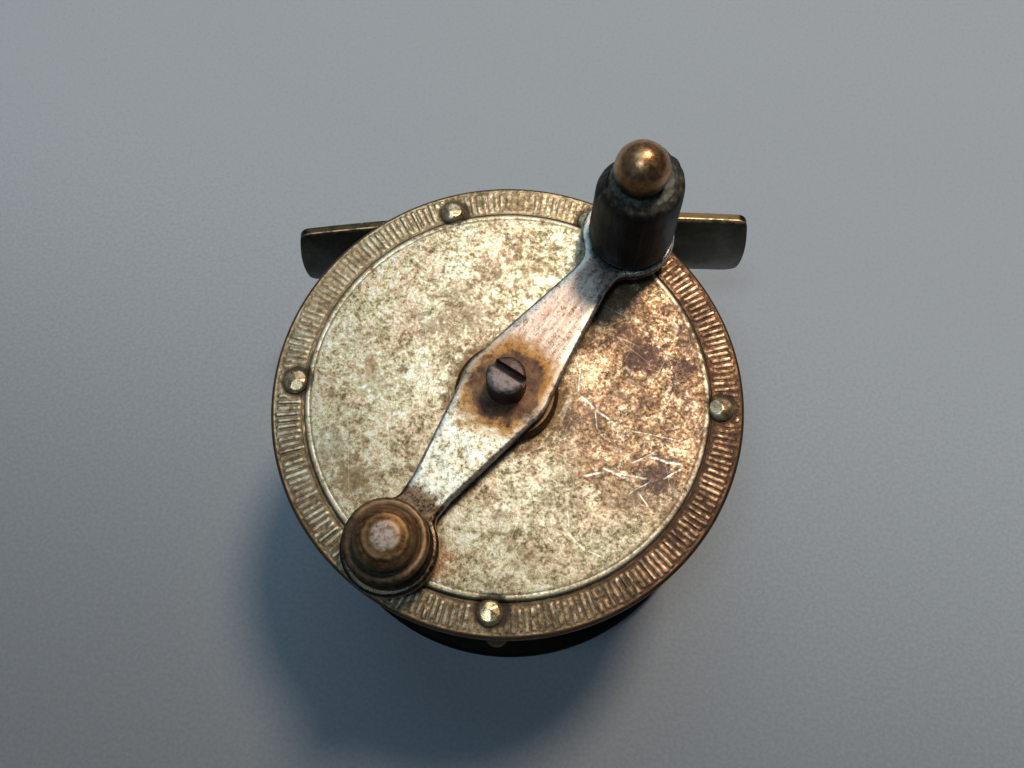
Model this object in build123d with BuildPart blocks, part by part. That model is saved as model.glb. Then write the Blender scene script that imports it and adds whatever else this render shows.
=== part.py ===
from build123d import *
import math
import os

os.makedirs("parts", exist_ok=True)

# Single-action click fishing reel, lying on its tail plate, crank side up.
# Millimetres. Z is the spool axis, the reel foot looks towards +Y, and the
# origin is the centre of the rim that the reel rests on.

# ---------------------------------------------------------------- dimensions
H = 36.0                  # rest rim to the top of the milled band
PLATE_R = 30.0            # both end plates
PLATE_T = 1.6             # plate thickness at the pillars
BAND_IN = 26.0            # inner edge of the milled band
DISC_RISE = 0.5           # central disc of the head plate stands this proud
TAIL_Z = 2.2              # underside of the tail plate inside its turned rim
TAIL_T = 1.4
TAIL_IN = TAIL_Z + TAIL_T         # inner face of the tail plate, 3.6
HEAD_IN = H - PLATE_T             # inner face of the head plate, 34.4
DISC_Z = H + DISC_RISE            # top of the central disc, 36.5

PILLAR_PITCH_R = 27.0
PLAIN_ANGLES = (0, 180, 270)
FOOT_ANGLES = (70, 110)
PLAIN_PILLAR_R = 1.5
FOOT_PILLAR_R = 1.9
RIVET_SHANK_R = 0.8
RIVET_DEPTH = 1.3
RIVET_HEAD_R = 1.5
RIVET_HEAD_H = 1.0

# reel foot: a thin plate hugging a rod, bowed along its length and set askew
FOOT_SKEW = 5.6
FOOT_SHIFT = 2.99
FOOT_Y = 28.59
FOOT_Z = 19.5
FOOT_T = 0.95
FOOT_LEN = 67.2
FOOT_ENDS = (8.0, 8.25, 7.65, 6.95)      # half widths: right above, right below, left above, left below
FOOT_W_MID = 16.5
FOOT_ROD_R = 30.3
FOOT_BOW = 1.3
FOOT_SCREW_L = 4.2        # from the foot's outer face
PAD_W = 3.2               # raised pads that carry the foot on its pillars
PAD_H = 13.0

# spool
SPINDLE_R = 2.6
TAIL_JOURNAL_R = 1.6
HEAD_JOURNAL_R = 2.5
FIT = 0.05
ARBOR_R = 6.5
FLANGE_R = 24.3
TAIL_FLANGE_Z = 7.4
HEAD_FLANGE_Z = 32.6
FLANGE_T = 0.8

# click
RATCHET_R = 6.6
RATCHET_ROOT = 5.4
RATCHET_TEETH = 24
RATCHET_Z = 5.6
CLICK_OFF_R = 12.8
CLICK_TRAVEL = 1.6
PAWL_Z = 5.3
PAWL_T = 1.3
PAWL_TIP = 5.1
PAWL_TAIL = 4.4

# crank
ARM_Z = H + 2.4
ARM_T = 1.4
ARM_TOP = ARM_Z + ARM_T
KNOB_ANGLE = 57.2
KNOB_R = 26.2
WEIGHT_ANGLE = 239.0
WEIGHT_R = 24.1
ARM_MID_HALF = 5.65
ARM_END_R = 6.1
BOSS_R = 6.5
BOSS_TOP = H + 2.0
SQUARE = 3.3

KNOB_PIN_R = 1.4
KNOB_Z0 = ARM_TOP + 0.4
KNOB_TOP = H + 18.0
BALL_R = 3.27
BALL_Z = H + 19.9
BALL_OFF = 0.28


def polar(r, a):
    return (r * math.cos(math.radians(a)), r * math.sin(math.radians(a)))


KX, KY = polar(KNOB_R, KNOB_ANGLE)
WX, WY = polar(WEIGHT_R, WEIGHT_ANGLE)
PX, PY = KX + 0.28, KY - 0.31          # axis of the knob and its pin
QX, QY = WX + 0.33, WY                 # axis of the counterweight
RZ = Plane.XZ             # profiles of turned pieces: x is radius, y is height


def dome(r, z_edge, z_top):
    """Three points of a spherical cap's profile, from its edge to its top."""
    rise = z_top - z_edge
    ball = (r * r + rise * rise) / (2 * abs(rise))
    half = math.asin(r / ball) / 2 if abs(rise) < ball else (math.pi - math.asin(r / ball)) / 2
    centre = z_top - math.copysign(ball, rise)
    return (
        (r, z_edge),
        (ball * math.sin(half), centre + math.copysign(ball * math.cos(half), rise)),
        (0, z_top))


def turned(profile, at=(0, 0)):
    """Plane of a half profile whose turning axis stands at a point."""
    return Plane(origin=(at[0], at[1], 0), x_dir=(1, 0, 0), z_dir=(0, -1, 0))


# ---------------------------------------------------------------- tail plate
with BuildPart() as tail_plate:
    with BuildSketch(RZ):
        Polygon(
            (3.2, TAIL_Z), (28.75, TAIL_Z), (28.95, 0.25), (29.2, 0),
            (29.8, 0), (PLATE_R, 0.3), (PLATE_R, 3.2), (29.6, TAIL_IN),
            (3.2, TAIL_IN), align=None)
    revolve(axis=Axis.Z)
    with BuildSketch(Plane.XY.offset(TAIL_Z - 0.5)):
        with Locations(*[polar(PILLAR_PITCH_R, a) for a in PLAIN_ANGLES + FOOT_ANGLES]):
            Circle(RIVET_SHANK_R)
        with Locations((0, -19.6)):
            Circle(0.7)
    extrude(amount=3, mode=Mode.SUBTRACT)
    with BuildSketch(Plane.XY.offset(TAIL_Z - 0.5)):
        with Locations((0, -CLICK_OFF_R + CLICK_TRAVEL / 2)):
            SlotCenterToCenter(CLICK_TRAVEL, 2.5, rotation=90)
    extrude(amount=3, mode=Mode.SUBTRACT)
tail_plate.part.label = "tail_plate"
export_step(tail_plate.part, "parts/tail_plate.step")

# closed cup that carries the tail end of the spindle
with BuildPart() as tail_bearing:
    with BuildSketch(RZ):
        Polygon(
            (0, 0), (2.8, 0), (3.2, 0.4), (3.2, TAIL_IN), (4.6, TAIL_IN),
            (4.6, 4.4), (TAIL_JOURNAL_R + FIT, 4.4), (TAIL_JOURNAL_R + FIT, 1.3),
            (0, 1.3), align=None)
    revolve(axis=Axis.Z)
tail_bearing.part.label = "tail_bearing"
export_step(tail_bearing.part, "parts/tail_bearing.step")

# thrust washer between the tail bearing and the spindle's shoulder
with BuildPart() as thrust_washer:
    with BuildSketch(Plane.XY.offset(4.4)):
        Circle(4.1)
        Circle(TAIL_JOURNAL_R + 0.1, mode=Mode.SUBTRACT)
    extrude(amount=0.5)
thrust_washer.part.label = "thrust_washer"
export_step(thrust_washer.part, "parts/thrust_washer.step")

# ---------------------------------------------------------------- head plate
with BuildPart() as head_plate:
    with BuildSketch(RZ):
        with BuildLine():
            Polyline((4.2, HEAD_IN + 0.5), (4.2, DISC_Z), (24.9, DISC_Z))
            ThreePointArc((24.9, DISC_Z), (25.62, DISC_Z - 0.16), (BAND_IN, H - 0.15))
            Polyline(
                (BAND_IN, H - 0.15), (BAND_IN + 0.3, H - 0.15), (BAND_IN + 0.4, H),
                (29.5, H), (29.85, H - 0.12), (PLATE_R, H - 0.4), (PLATE_R, H - 1.9),
                (29.7, H - 2.1), (29.2, H - 2.1), (29.0, HEAD_IN), (24.6, HEAD_IN),
                (24.2, HEAD_IN + 0.5), (4.2, HEAD_IN + 0.5))
        make_face()
    revolve(axis=Axis.Z)
    with BuildSketch(Plane.XY.offset(HEAD_IN - 0.5)):
        with Locations(*[polar(PILLAR_PITCH_R, a) for a in PLAIN_ANGLES + FOOT_ANGLES]):
            Circle(RIVET_SHANK_R)
    extrude(amount=4, mode=Mode.SUBTRACT)
    # spot faces for the rivet heads, where they bite into the disc's shoulder
    with BuildSketch(Plane.XY.offset(H)):
        with Locations(*[polar(PILLAR_PITCH_R, a) for a in PLAIN_ANGLES + FOOT_ANGLES]):
            Circle(RIVET_HEAD_R)
    extrude(amount=1, mode=Mode.SUBTRACT)
head_plate.part.label = "head_plate"
export_step(head_plate.part, "parts/head_plate.step")

# flanged bush with the round boss that shows under the crank arm
with BuildPart() as head_bearing:
    with BuildSketch(RZ):
        Polygon(
            (HEAD_JOURNAL_R + FIT, HEAD_IN - 0.1), (4.2, HEAD_IN - 0.1), (4.2, DISC_Z),
            (BOSS_R, DISC_Z), (BOSS_R, BOSS_TOP - 0.5), (BOSS_R - 0.5, BOSS_TOP),
            (HEAD_JOURNAL_R + FIT, BOSS_TOP), align=None)
    revolve(axis=Axis.Z)
head_bearing.part.label = "head_bearing"
export_step(head_bearing.part, "parts/head_bearing.step")

# ---------------------------------------------------------------- reel foot
SK = math.radians(FOOT_SKEW)
FU = (math.cos(SK), math.sin(SK))            # along the foot
FN = (-math.sin(SK), math.cos(SK))           # out of the foot, towards the rod
FOOT_O = (
    FU[0] * FOOT_SHIFT + FN[0] * FOOT_Y,
    FU[1] * FOOT_SHIFT + FN[1] * FOOT_Y, FOOT_Z)
BOW_R = (FOOT_LEN / 2) ** 2 / (2 * FOOT_BOW)
BOW_C = (FOOT_O[0] - FN[0] * BOW_R, FOOT_O[1] - FN[1] * BOW_R)
SWING = math.degrees((FOOT_LEN / 2 + 1.5) / BOW_R)
S0 = math.radians(-SWING)
N0 = (
    FN[0] * math.cos(S0) - FN[1] * math.sin(S0),
    FN[0] * math.sin(S0) + FN[1] * math.cos(S0))
section = Plane(
    origin=(BOW_C[0] + N0[0] * BOW_R, BOW_C[1] + N0[1] * BOW_R, FOOT_Z),
    x_dir=(N0[0], N0[1], 0), z_dir=(-N0[1], N0[0], 0))
foot_plan = Plane(origin=FOOT_O, x_dir=(FU[0], FU[1], 0), z_dir=(-FN[0], -FN[1], 0))


def foot_point(along, out, up):
    """Point in the foot's own directions, from the middle of its inner face."""
    return (
        FOOT_O[0] + FU[0] * along + FN[0] * out,
        FOOT_O[1] + FU[1] * along + FN[1] * out, FOOT_Z + up)


# where each foot pillar stands along the foot
FOOT_SCREWS = []
for a in FOOT_ANGLES:
    px, py = polar(PILLAR_PITCH_R, a)
    along = (px - FOOT_O[0]) * FU[0] + (py - FOOT_O[1]) * FU[1]
    inner = -(along ** 2) / (2 * BOW_R)
    FOOT_SCREWS.append((along, inner))

# countersunk screws that hold the foot to its two pillars, slots inside
with BuildPart() as foot_screws:
    for along, inner in FOOT_SCREWS:
        o = foot_point(along, inner + FOOT_T, 0)
        axis_plane = Plane(origin=o, x_dir=(FU[0], FU[1], 0), z_dir=(0, 0, 1))
        with BuildSketch(axis_plane):
            Polygon(
                (0, -FOOT_SCREW_L), (0.7, -FOOT_SCREW_L), (0.7, -0.8), (1.5, -0.03), (0, -0.03),
                align=None)
        revolve(axis=Axis(origin=o, direction=(FN[0], FN[1], 0)))
        slot = Plane(origin=foot_point(along, inner + FOOT_T - 0.03, 0),
                     x_dir=(FU[0], FU[1], 0), z_dir=(FN[0], FN[1], 0))
        with BuildSketch(slot):
            Rectangle(0.45, 3.2)
        extrude(amount=-0.35, mode=Mode.SUBTRACT)
foot_screws.part.label = "foot_screws"
export_step(foot_screws.part, "parts/foot_screws.step")

with BuildPart() as reel_foot:
    with BuildSketch(section):
        with BuildLine():
            s = 9.0
            di = FOOT_ROD_R + FOOT_T
            do = FOOT_ROD_R
            ai, ao = math.asin(s / di), math.asin(s / do)
            ThreePointArc((di - di * math.cos(ai), -s), (0, 0), (di - di * math.cos(ai), s))
            Line((di - di * math.cos(ai), s), (di - do * math.cos(ao), s))
            ThreePointArc((di - do * math.cos(ao), s), (FOOT_T, 0), (di - do * math.cos(ao), -s))
            Line((di - do * math.cos(ao), -s), (di - di * math.cos(ai), -s))
        make_face()
    revolve(axis=Axis(origin=(BOW_C[0], BOW_C[1], 0), direction=(0, 0, 1)), revolution_arc=2 * SWING)
    with BuildSketch(foot_plan):
        with BuildLine():
            hl, wm = FOOT_LEN / 2, FOOT_W_MID / 2
            up_r, low_r, up_l, low_l = FOOT_ENDS
            ThreePointArc((-hl + 1.15, up_l), (0, wm), (hl - 1.3, up_r))
            ThreePointArc((hl - 1.3, up_r), (hl - 0.2, 0.6), (hl - 0.05, -low_r))
            ThreePointArc((hl - 0.05, -low_r), (0, -wm), (-hl + 0.1, -low_l))
            ThreePointArc((-hl + 0.1, -low_l), (-hl + 0.02, 0), (-hl + 1.15, up_l))
        make_face()
        fillet(vertices().sort_by(Axis.Y)[-2:], 1.5)
        fillet(vertices().sort_by(Axis.Y)[:2], 2.6)
    extrude(amount=9, both=True, mode=Mode.INTERSECT)
    for along, inner in FOOT_SCREWS:
        o = foot_point(along, inner + FOOT_T, 0)
        axis_plane = Plane(origin=o, x_dir=(FU[0], FU[1], 0), z_dir=(0, 0, 1))
        with BuildSketch(axis_plane):
            Polygon(
                (0, -2.2), (0.7, -2.2), (0.7, -0.8), (1.5, -0.03), (1.5, 0.6), (0, 0.6),
                align=None)
        revolve(axis=Axis(origin=o, direction=(FN[0], FN[1], 0)), mode=Mode.SUBTRACT)
reel_foot.part.label = "reel_foot"
export_step(reel_foot.part, "parts/reel_foot.step")

# ---------------------------------------------------------------- pillars
# plain pillars: waisted rods, drilled at both ends for their rivets
with BuildPart() as plain_pillars:
    for a in PLAIN_ANGLES:
        at = polar(PILLAR_PITCH_R, a)
        with BuildSketch(turned(None, at)):
            Polygon(
                (0, TAIL_IN), (PLAIN_PILLAR_R + 0.35, TAIL_IN), (PLAIN_PILLAR_R + 0.35, TAIL_IN + 0.9),
                (PLAIN_PILLAR_R, TAIL_IN + 1.3), (PLAIN_PILLAR_R, HEAD_IN - 1.3),
                (PLAIN_PILLAR_R + 0.35, HEAD_IN - 0.9), (PLAIN_PILLAR_R + 0.35, HEAD_IN), (0, HEAD_IN),
                align=None)
        revolve(axis=Axis(origin=(at[0], at[1], 0), direction=(0, 0, 1)))
    with BuildSketch(Plane.XY.offset(TAIL_IN)):
        with Locations(*[polar(PILLAR_PITCH_R, a) for a in PLAIN_ANGLES]):
            Circle(RIVET_SHANK_R)
    extrude(amount=RIVET_DEPTH, mode=Mode.SUBTRACT)
    with BuildSketch(Plane.XY.offset(HEAD_IN - RIVET_DEPTH)):
        with Locations(*[polar(PILLAR_PITCH_R, a) for a in PLAIN_ANGLES]):
            Circle(RIVET_SHANK_R)
    extrude(amount=RIVET_DEPTH, mode=Mode.SUBTRACT)
plain_pillars.part.label = "plain_pillars"
export_step(plain_pillars.part, "parts/plain_pillars.step")


# foot pillars: round rods with a seat cut where the foot lies against them
SEAT_HALF = FOOT_W_MID / 2 + 0.12
SEAT_R = FOOT_ROD_R + FOOT_T
SEAT_RISE = SEAT_R - math.sqrt(SEAT_R ** 2 - SEAT_HALF ** 2)

with BuildPart() as foot_pillar_right:
    at = polar(PILLAR_PITCH_R, FOOT_ANGLES[0])
    step_along, step_in = FOOT_SCREWS[0]
    with BuildSketch(Plane.XY.offset(TAIL_IN)):
        with Locations(at):
            Circle(FOOT_PILLAR_R)
    extrude(amount=HEAD_IN - TAIL_IN)
    # pad that fills the gap between the rod and the foot
    with BuildSketch(Plane(origin=(at[0], at[1], FOOT_Z), x_dir=(FU[0], FU[1], 0), z_dir=(FN[0], FN[1], 0))):
        RectangleRounded(PAD_W, PAD_H, 0.6)
    extrude(amount=5.5)
    with BuildSketch(Plane.XY.offset(TAIL_IN)):
        with Locations(at):
            Circle(RIVET_SHANK_R)
    extrude(amount=RIVET_DEPTH, mode=Mode.SUBTRACT)
    with BuildSketch(Plane.XY.offset(HEAD_IN - RIVET_DEPTH)):
        with Locations(at):
            Circle(RIVET_SHANK_R)
    extrude(amount=RIVET_DEPTH, mode=Mode.SUBTRACT)
    # curved seat that follows the foot's inner face
    turn = -math.asin(step_along / BOW_R) - 4 / BOW_R
    out = (FN[0] * math.cos(turn) - FN[1] * math.sin(turn),
           FN[0] * math.sin(turn) + FN[1] * math.cos(turn))
    with BuildSketch(Plane(origin=(BOW_C[0] + out[0] * BOW_R, BOW_C[1] + out[1] * BOW_R, FOOT_Z),
                           x_dir=(out[0], out[1], 0), z_dir=(-out[1], out[0], 0))):
        with BuildLine():
            ThreePointArc((SEAT_RISE, -SEAT_HALF), (0, 0), (SEAT_RISE, SEAT_HALF))
            Polyline(
                (SEAT_RISE, SEAT_HALF), (8, SEAT_HALF), (8, -SEAT_HALF), (SEAT_RISE, -SEAT_HALF))
        make_face()
    revolve(axis=Axis(origin=(BOW_C[0], BOW_C[1], 0), direction=(0, 0, 1)),
            revolution_arc=math.degrees(8 / BOW_R), mode=Mode.SUBTRACT)
    # tapped hole for the foot screw
    screw_at = foot_point(step_along, step_in + FOOT_T, 0)
    with BuildSketch(Plane(origin=screw_at, x_dir=(FU[0], FU[1], 0), z_dir=(0, 0, 1))):
        Polygon((0, -FOOT_SCREW_L), (0.7, -FOOT_SCREW_L), (0.7, 0.5), (0, 0.5), align=None)
    revolve(axis=Axis(origin=screw_at, direction=(FN[0], FN[1], 0)), mode=Mode.SUBTRACT)
foot_pillar_right.part.label = "foot_pillar_right"
export_step(foot_pillar_right.part, "parts/foot_pillar_right.step")

with BuildPart() as foot_pillar_left:
    at = polar(PILLAR_PITCH_R, FOOT_ANGLES[1])
    step_along, step_in = FOOT_SCREWS[1]
    with BuildSketch(Plane.XY.offset(TAIL_IN)):
        with Locations(at):
            Circle(FOOT_PILLAR_R)
    extrude(amount=HEAD_IN - TAIL_IN)
    # pad that fills the gap between the rod and the foot
    with BuildSketch(Plane(origin=(at[0], at[1], FOOT_Z), x_dir=(FU[0], FU[1], 0), z_dir=(FN[0], FN[1], 0))):
        RectangleRounded(PAD_W, PAD_H, 0.6)
    extrude(amount=5.5)
    with BuildSketch(Plane.XY.offset(TAIL_IN)):
        with Locations(at):
            Circle(RIVET_SHANK_R)
    extrude(amount=RIVET_DEPTH, mode=Mode.SUBTRACT)
    with BuildSketch(Plane.XY.offset(HEAD_IN - RIVET_DEPTH)):
        with Locations(at):
            Circle(RIVET_SHANK_R)
    extrude(amount=RIVET_DEPTH, mode=Mode.SUBTRACT)
    # curved seat that follows the foot's inner face
    turn = -math.asin(step_along / BOW_R) - 4 / BOW_R
    out = (FN[0] * math.cos(turn) - FN[1] * math.sin(turn),
           FN[0] * math.sin(turn) + FN[1] * math.cos(turn))
    with BuildSketch(Plane(origin=(BOW_C[0] + out[0] * BOW_R, BOW_C[1] + out[1] * BOW_R, FOOT_Z),
                           x_dir=(out[0], out[1], 0), z_dir=(-out[1], out[0], 0))):
        with BuildLine():
            ThreePointArc((SEAT_RISE, -SEAT_HALF), (0, 0), (SEAT_RISE, SEAT_HALF))
            Polyline(
                (SEAT_RISE, SEAT_HALF), (8, SEAT_HALF), (8, -SEAT_HALF), (SEAT_RISE, -SEAT_HALF))
        make_face()
    revolve(axis=Axis(origin=(BOW_C[0], BOW_C[1], 0), direction=(0, 0, 1)),
            revolution_arc=math.degrees(8 / BOW_R), mode=Mode.SUBTRACT)
    # tapped hole for the foot screw
    screw_at = foot_point(step_along, step_in + FOOT_T, 0)
    with BuildSketch(Plane(origin=screw_at, x_dir=(FU[0], FU[1], 0), z_dir=(0, 0, 1))):
        Polygon((0, -FOOT_SCREW_L), (0.7, -FOOT_SCREW_L), (0.7, 0.5), (0, 0.5), align=None)
    revolve(axis=Axis(origin=screw_at, direction=(FN[0], FN[1], 0)), mode=Mode.SUBTRACT)
foot_pillar_left.part.label = "foot_pillar_left"
export_step(foot_pillar_left.part, "parts/foot_pillar_left.step")

# domed rivets through both plates into the pillars
with BuildPart() as head_rivets:
    for a in PLAIN_ANGLES + FOOT_ANGLES:
        at = polar(PILLAR_PITCH_R, a)
        with BuildSketch(turned(None, at)):
            with BuildLine():
                Polyline(
                    (0, H + RIVET_HEAD_H), (0, HEAD_IN - RIVET_DEPTH),
                    (RIVET_SHANK_R, HEAD_IN - RIVET_DEPTH), (RIVET_SHANK_R, H),
                    (RIVET_HEAD_R, H), (RIVET_HEAD_R, H + 0.15))
                ThreePointArc(*dome(RIVET_HEAD_R, H + 0.15, H + RIVET_HEAD_H))
            make_face()
        revolve(axis=Axis(origin=(at[0], at[1], 0), direction=(0, 0, 1)))
head_rivets.part.label = "head_rivets"
export_step(head_rivets.part, "parts/head_rivets.step")

with BuildPart() as tail_rivets:
    for a in PLAIN_ANGLES + FOOT_ANGLES:
        at = polar(PILLAR_PITCH_R, a)
        with BuildSketch(turned(None, at)):
            with BuildLine():
                Polyline(
                    (0, TAIL_Z - RIVET_HEAD_H), (0, TAIL_IN + RIVET_DEPTH),
                    (RIVET_SHANK_R, TAIL_IN + RIVET_DEPTH), (RIVET_SHANK_R, TAIL_Z),
                    (RIVET_HEAD_R, TAIL_Z), (RIVET_HEAD_R, TAIL_Z - 0.15))
                ThreePointArc(*dome(RIVET_HEAD_R, TAIL_Z - 0.15, TAIL_Z - RIVET_HEAD_H))
            make_face()
        revolve(axis=Axis(origin=(at[0], at[1], 0), direction=(0, 0, 1)))
tail_rivets.part.label = "tail_rivets"
export_step(tail_rivets.part, "parts/tail_rivets.step")

# ---------------------------------------------------------------- click
# post riveted in the tail plate that holds the click spring
with BuildPart() as spring_post:
    with BuildSketch(turned(None, (0, -19.6))):
        Polygon(
            (0, TAIL_Z - 0.6), (1.2, TAIL_Z - 0.6), (1.3, TAIL_Z - 0.3), (1.3, TAIL_Z),
            (0.7, TAIL_Z), (0.7, TAIL_IN), (1.7, TAIL_IN), (1.7, 5.3), (1.1, 5.3),
            (1.1, 6.5), (1.6, 6.5), (1.6, 6.7), (1.3, 6.8), (0, 6.8), align=None)
    revolve(axis=Axis(origin=(0, -19.6, 0), direction=(0, 0, 1)))
spring_post.part.label = "spring_post"
export_step(spring_post.part, "parts/spring_post.step")

# hairpin spring whose two legs bear on the pawl's tail
with BuildPart() as click_spring:
    with BuildSketch(Plane.XY.offset(5.3)):
        with BuildLine():
            Polyline((1.15, -19.6), (1.15, -15.6), (1.45, -14.9), (1.77, -15.05), (1.5, -15.7), (1.5, -19.6))
            ThreePointArc((1.5, -19.6), (0, -21.1), (-1.5, -19.6))
            Polyline((-1.5, -19.6), (-1.5, -15.7), (-1.77, -15.05), (-1.45, -14.9), (-1.15, -15.6), (-1.15, -19.6))
            ThreePointArc((-1.15, -19.6), (0, -20.75), (1.15, -19.6))
        make_face()
    extrude(amount=1.2)
click_spring.part.label = "click_spring"
export_step(click_spring.part, "parts/click_spring.step")

# button outside, stud through the slot, shoulder and pivot pin inside
with BuildPart() as click_button:
    with BuildSketch(turned(None, (0, -CLICK_OFF_R))):
        Polygon(
            (0, 0.5), (2.2, 0.5), (2.6, 0.9), (2.6, 1.8), (2.3, 2.1), (1.2, 2.1),
            (1.2, 3.7), (2.1, 3.7), (2.1, 5.2), (1.0, 5.2), (1.0, 6.7), (1.35, 6.7),
            (1.2, 6.88), (0, 6.88), align=None)
    revolve(axis=Axis(origin=(0, -CLICK_OFF_R, 0), direction=(0, 0, 1)))
click_button.part.label = "click_button"
export_step(click_button.part, "parts/click_button.step")

# pawl: eye on the button's pin, tooth towards the ratchet, tail in the spring
with BuildPart() as click_pawl:
    with BuildSketch(Plane.XY.offset(PAWL_Z)):
        with Locations((0, -CLICK_OFF_R)):
            Circle(1.7)
        with BuildLine():
            y0 = -CLICK_OFF_R
            Polyline(
                (-1.2, y0), (-0.22, y0 + PAWL_TIP), (0.22, y0 + PAWL_TIP), (1.2, y0),
                (0.8, y0 - PAWL_TAIL), (-0.8, y0 - PAWL_TAIL), (-1.2, y0))
        make_face()
        with Locations((0, -CLICK_OFF_R)):
            Circle(1.0 + FIT, mode=Mode.SUBTRACT)
    extrude(amount=PAWL_T)
click_pawl.part.label = "click_pawl"
export_step(click_pawl.part, "parts/click_pawl.step")

# ---------------------------------------------------------------- spool
with BuildPart() as click_ratchet:
    with BuildSketch(Plane.XY.offset(RATCHET_Z)):
        Circle(RATCHET_ROOT)
        step = 360 / RATCHET_TEETH
        with BuildLine():
            pts = []
            for i in range(RATCHET_TEETH):
                mid = 270 + (i + 0.5) * step
                pts.append(polar(RATCHET_ROOT - 0.02, mid - 4.6))
                pts.append(polar(RATCHET_R, mid - 1.1))
                pts.append(polar(RATCHET_R, mid + 1.1))
                pts.append(polar(RATCHET_ROOT - 0.02, mid + 4.6))
            Polyline(*pts, close=True)
        make_face()
        Circle(SPINDLE_R, mode=Mode.SUBTRACT)
    extrude(amount=TAIL_FLANGE_Z - RATCHET_Z)
click_ratchet.part.label = "click_ratchet"
export_step(click_ratchet.part, "parts/click_ratchet.step")

with BuildPart() as tail_flange:
    with BuildSketch(RZ):
        Polygon(
            (SPINDLE_R, TAIL_FLANGE_Z), (FLANGE_R - 0.2, TAIL_FLANGE_Z),
            (FLANGE_R, TAIL_FLANGE_Z + 0.2), (FLANGE_R, TAIL_FLANGE_Z + FLANGE_T),
            (SPINDLE_R, TAIL_FLANGE_Z + FLANGE_T), align=None)
    revolve(axis=Axis.Z)
tail_flange.part.label = "tail_flange"
export_step(tail_flange.part, "parts/tail_flange.step")

with BuildPart() as spool_arbor:
    with BuildSketch(Plane.XY.offset(TAIL_FLANGE_Z + FLANGE_T)):
        Circle(ARBOR_R)
        Circle(SPINDLE_R, mode=Mode.SUBTRACT)
    extrude(amount=HEAD_FLANGE_Z - TAIL_FLANGE_Z - FLANGE_T)
    # hole that the line is tied through
    with BuildSketch(Plane.YZ):
        with Locations((0, 20.4)):
            Circle(0.8)
    extrude(amount=10, mode=Mode.SUBTRACT)
spool_arbor.part.label = "spool_arbor"
export_step(spool_arbor.part, "parts/spool_arbor.step")

with BuildPart() as head_flange:
    with BuildSketch(RZ):
        Polygon(
            (SPINDLE_R, HEAD_FLANGE_Z), (FLANGE_R, HEAD_FLANGE_Z),
            (FLANGE_R, HEAD_FLANGE_Z + FLANGE_T - 0.2), (FLANGE_R - 0.2, HEAD_FLANGE_Z + FLANGE_T),
            (SPINDLE_R, HEAD_FLANGE_Z + FLANGE_T), align=None)
    revolve(axis=Axis.Z)
head_flange.part.label = "head_flange"
export_step(head_flange.part, "parts/head_flange.step")

# spindle: tail journal, body, head journal, square for the crank, tapped end
with BuildPart() as spindle:
    with BuildSketch(RZ):
        Polygon(
            (0, 1.35), (TAIL_JOURNAL_R - 0.2, 1.35), (TAIL_JOURNAL_R, 1.55),
            (TAIL_JOURNAL_R, 4.95), (SPINDLE_R, 4.95), (SPINDLE_R, HEAD_IN - 0.6),
            (3.4, HEAD_IN - 0.6), (3.4, HEAD_IN - 0.2), (HEAD_JOURNAL_R, HEAD_IN - 0.2),
            (HEAD_JOURNAL_R, ARM_Z), (0, ARM_Z), align=None)
    revolve(axis=Axis.Z)
    with BuildSketch(Plane.XY.offset(ARM_Z)):
        Rectangle(SQUARE, SQUARE, rotation=KNOB_ANGLE)
    extrude(amount=ARM_T - 0.1)
    with BuildSketch(Plane.XY.offset(ARM_TOP - 6)):
        Circle(1.1)
    extrude(amount=7, mode=Mode.SUBTRACT)
spindle.part.label = "spindle"
export_step(spindle.part, "parts/spindle.step")

# ---------------------------------------------------------------- crank
def along(angle, s, t):
    """Point at distance s out along an angle and t to its left."""
    a = math.radians(angle)
    return (s * math.cos(a) - t * math.sin(a), s * math.sin(a) + t * math.cos(a))


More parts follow.
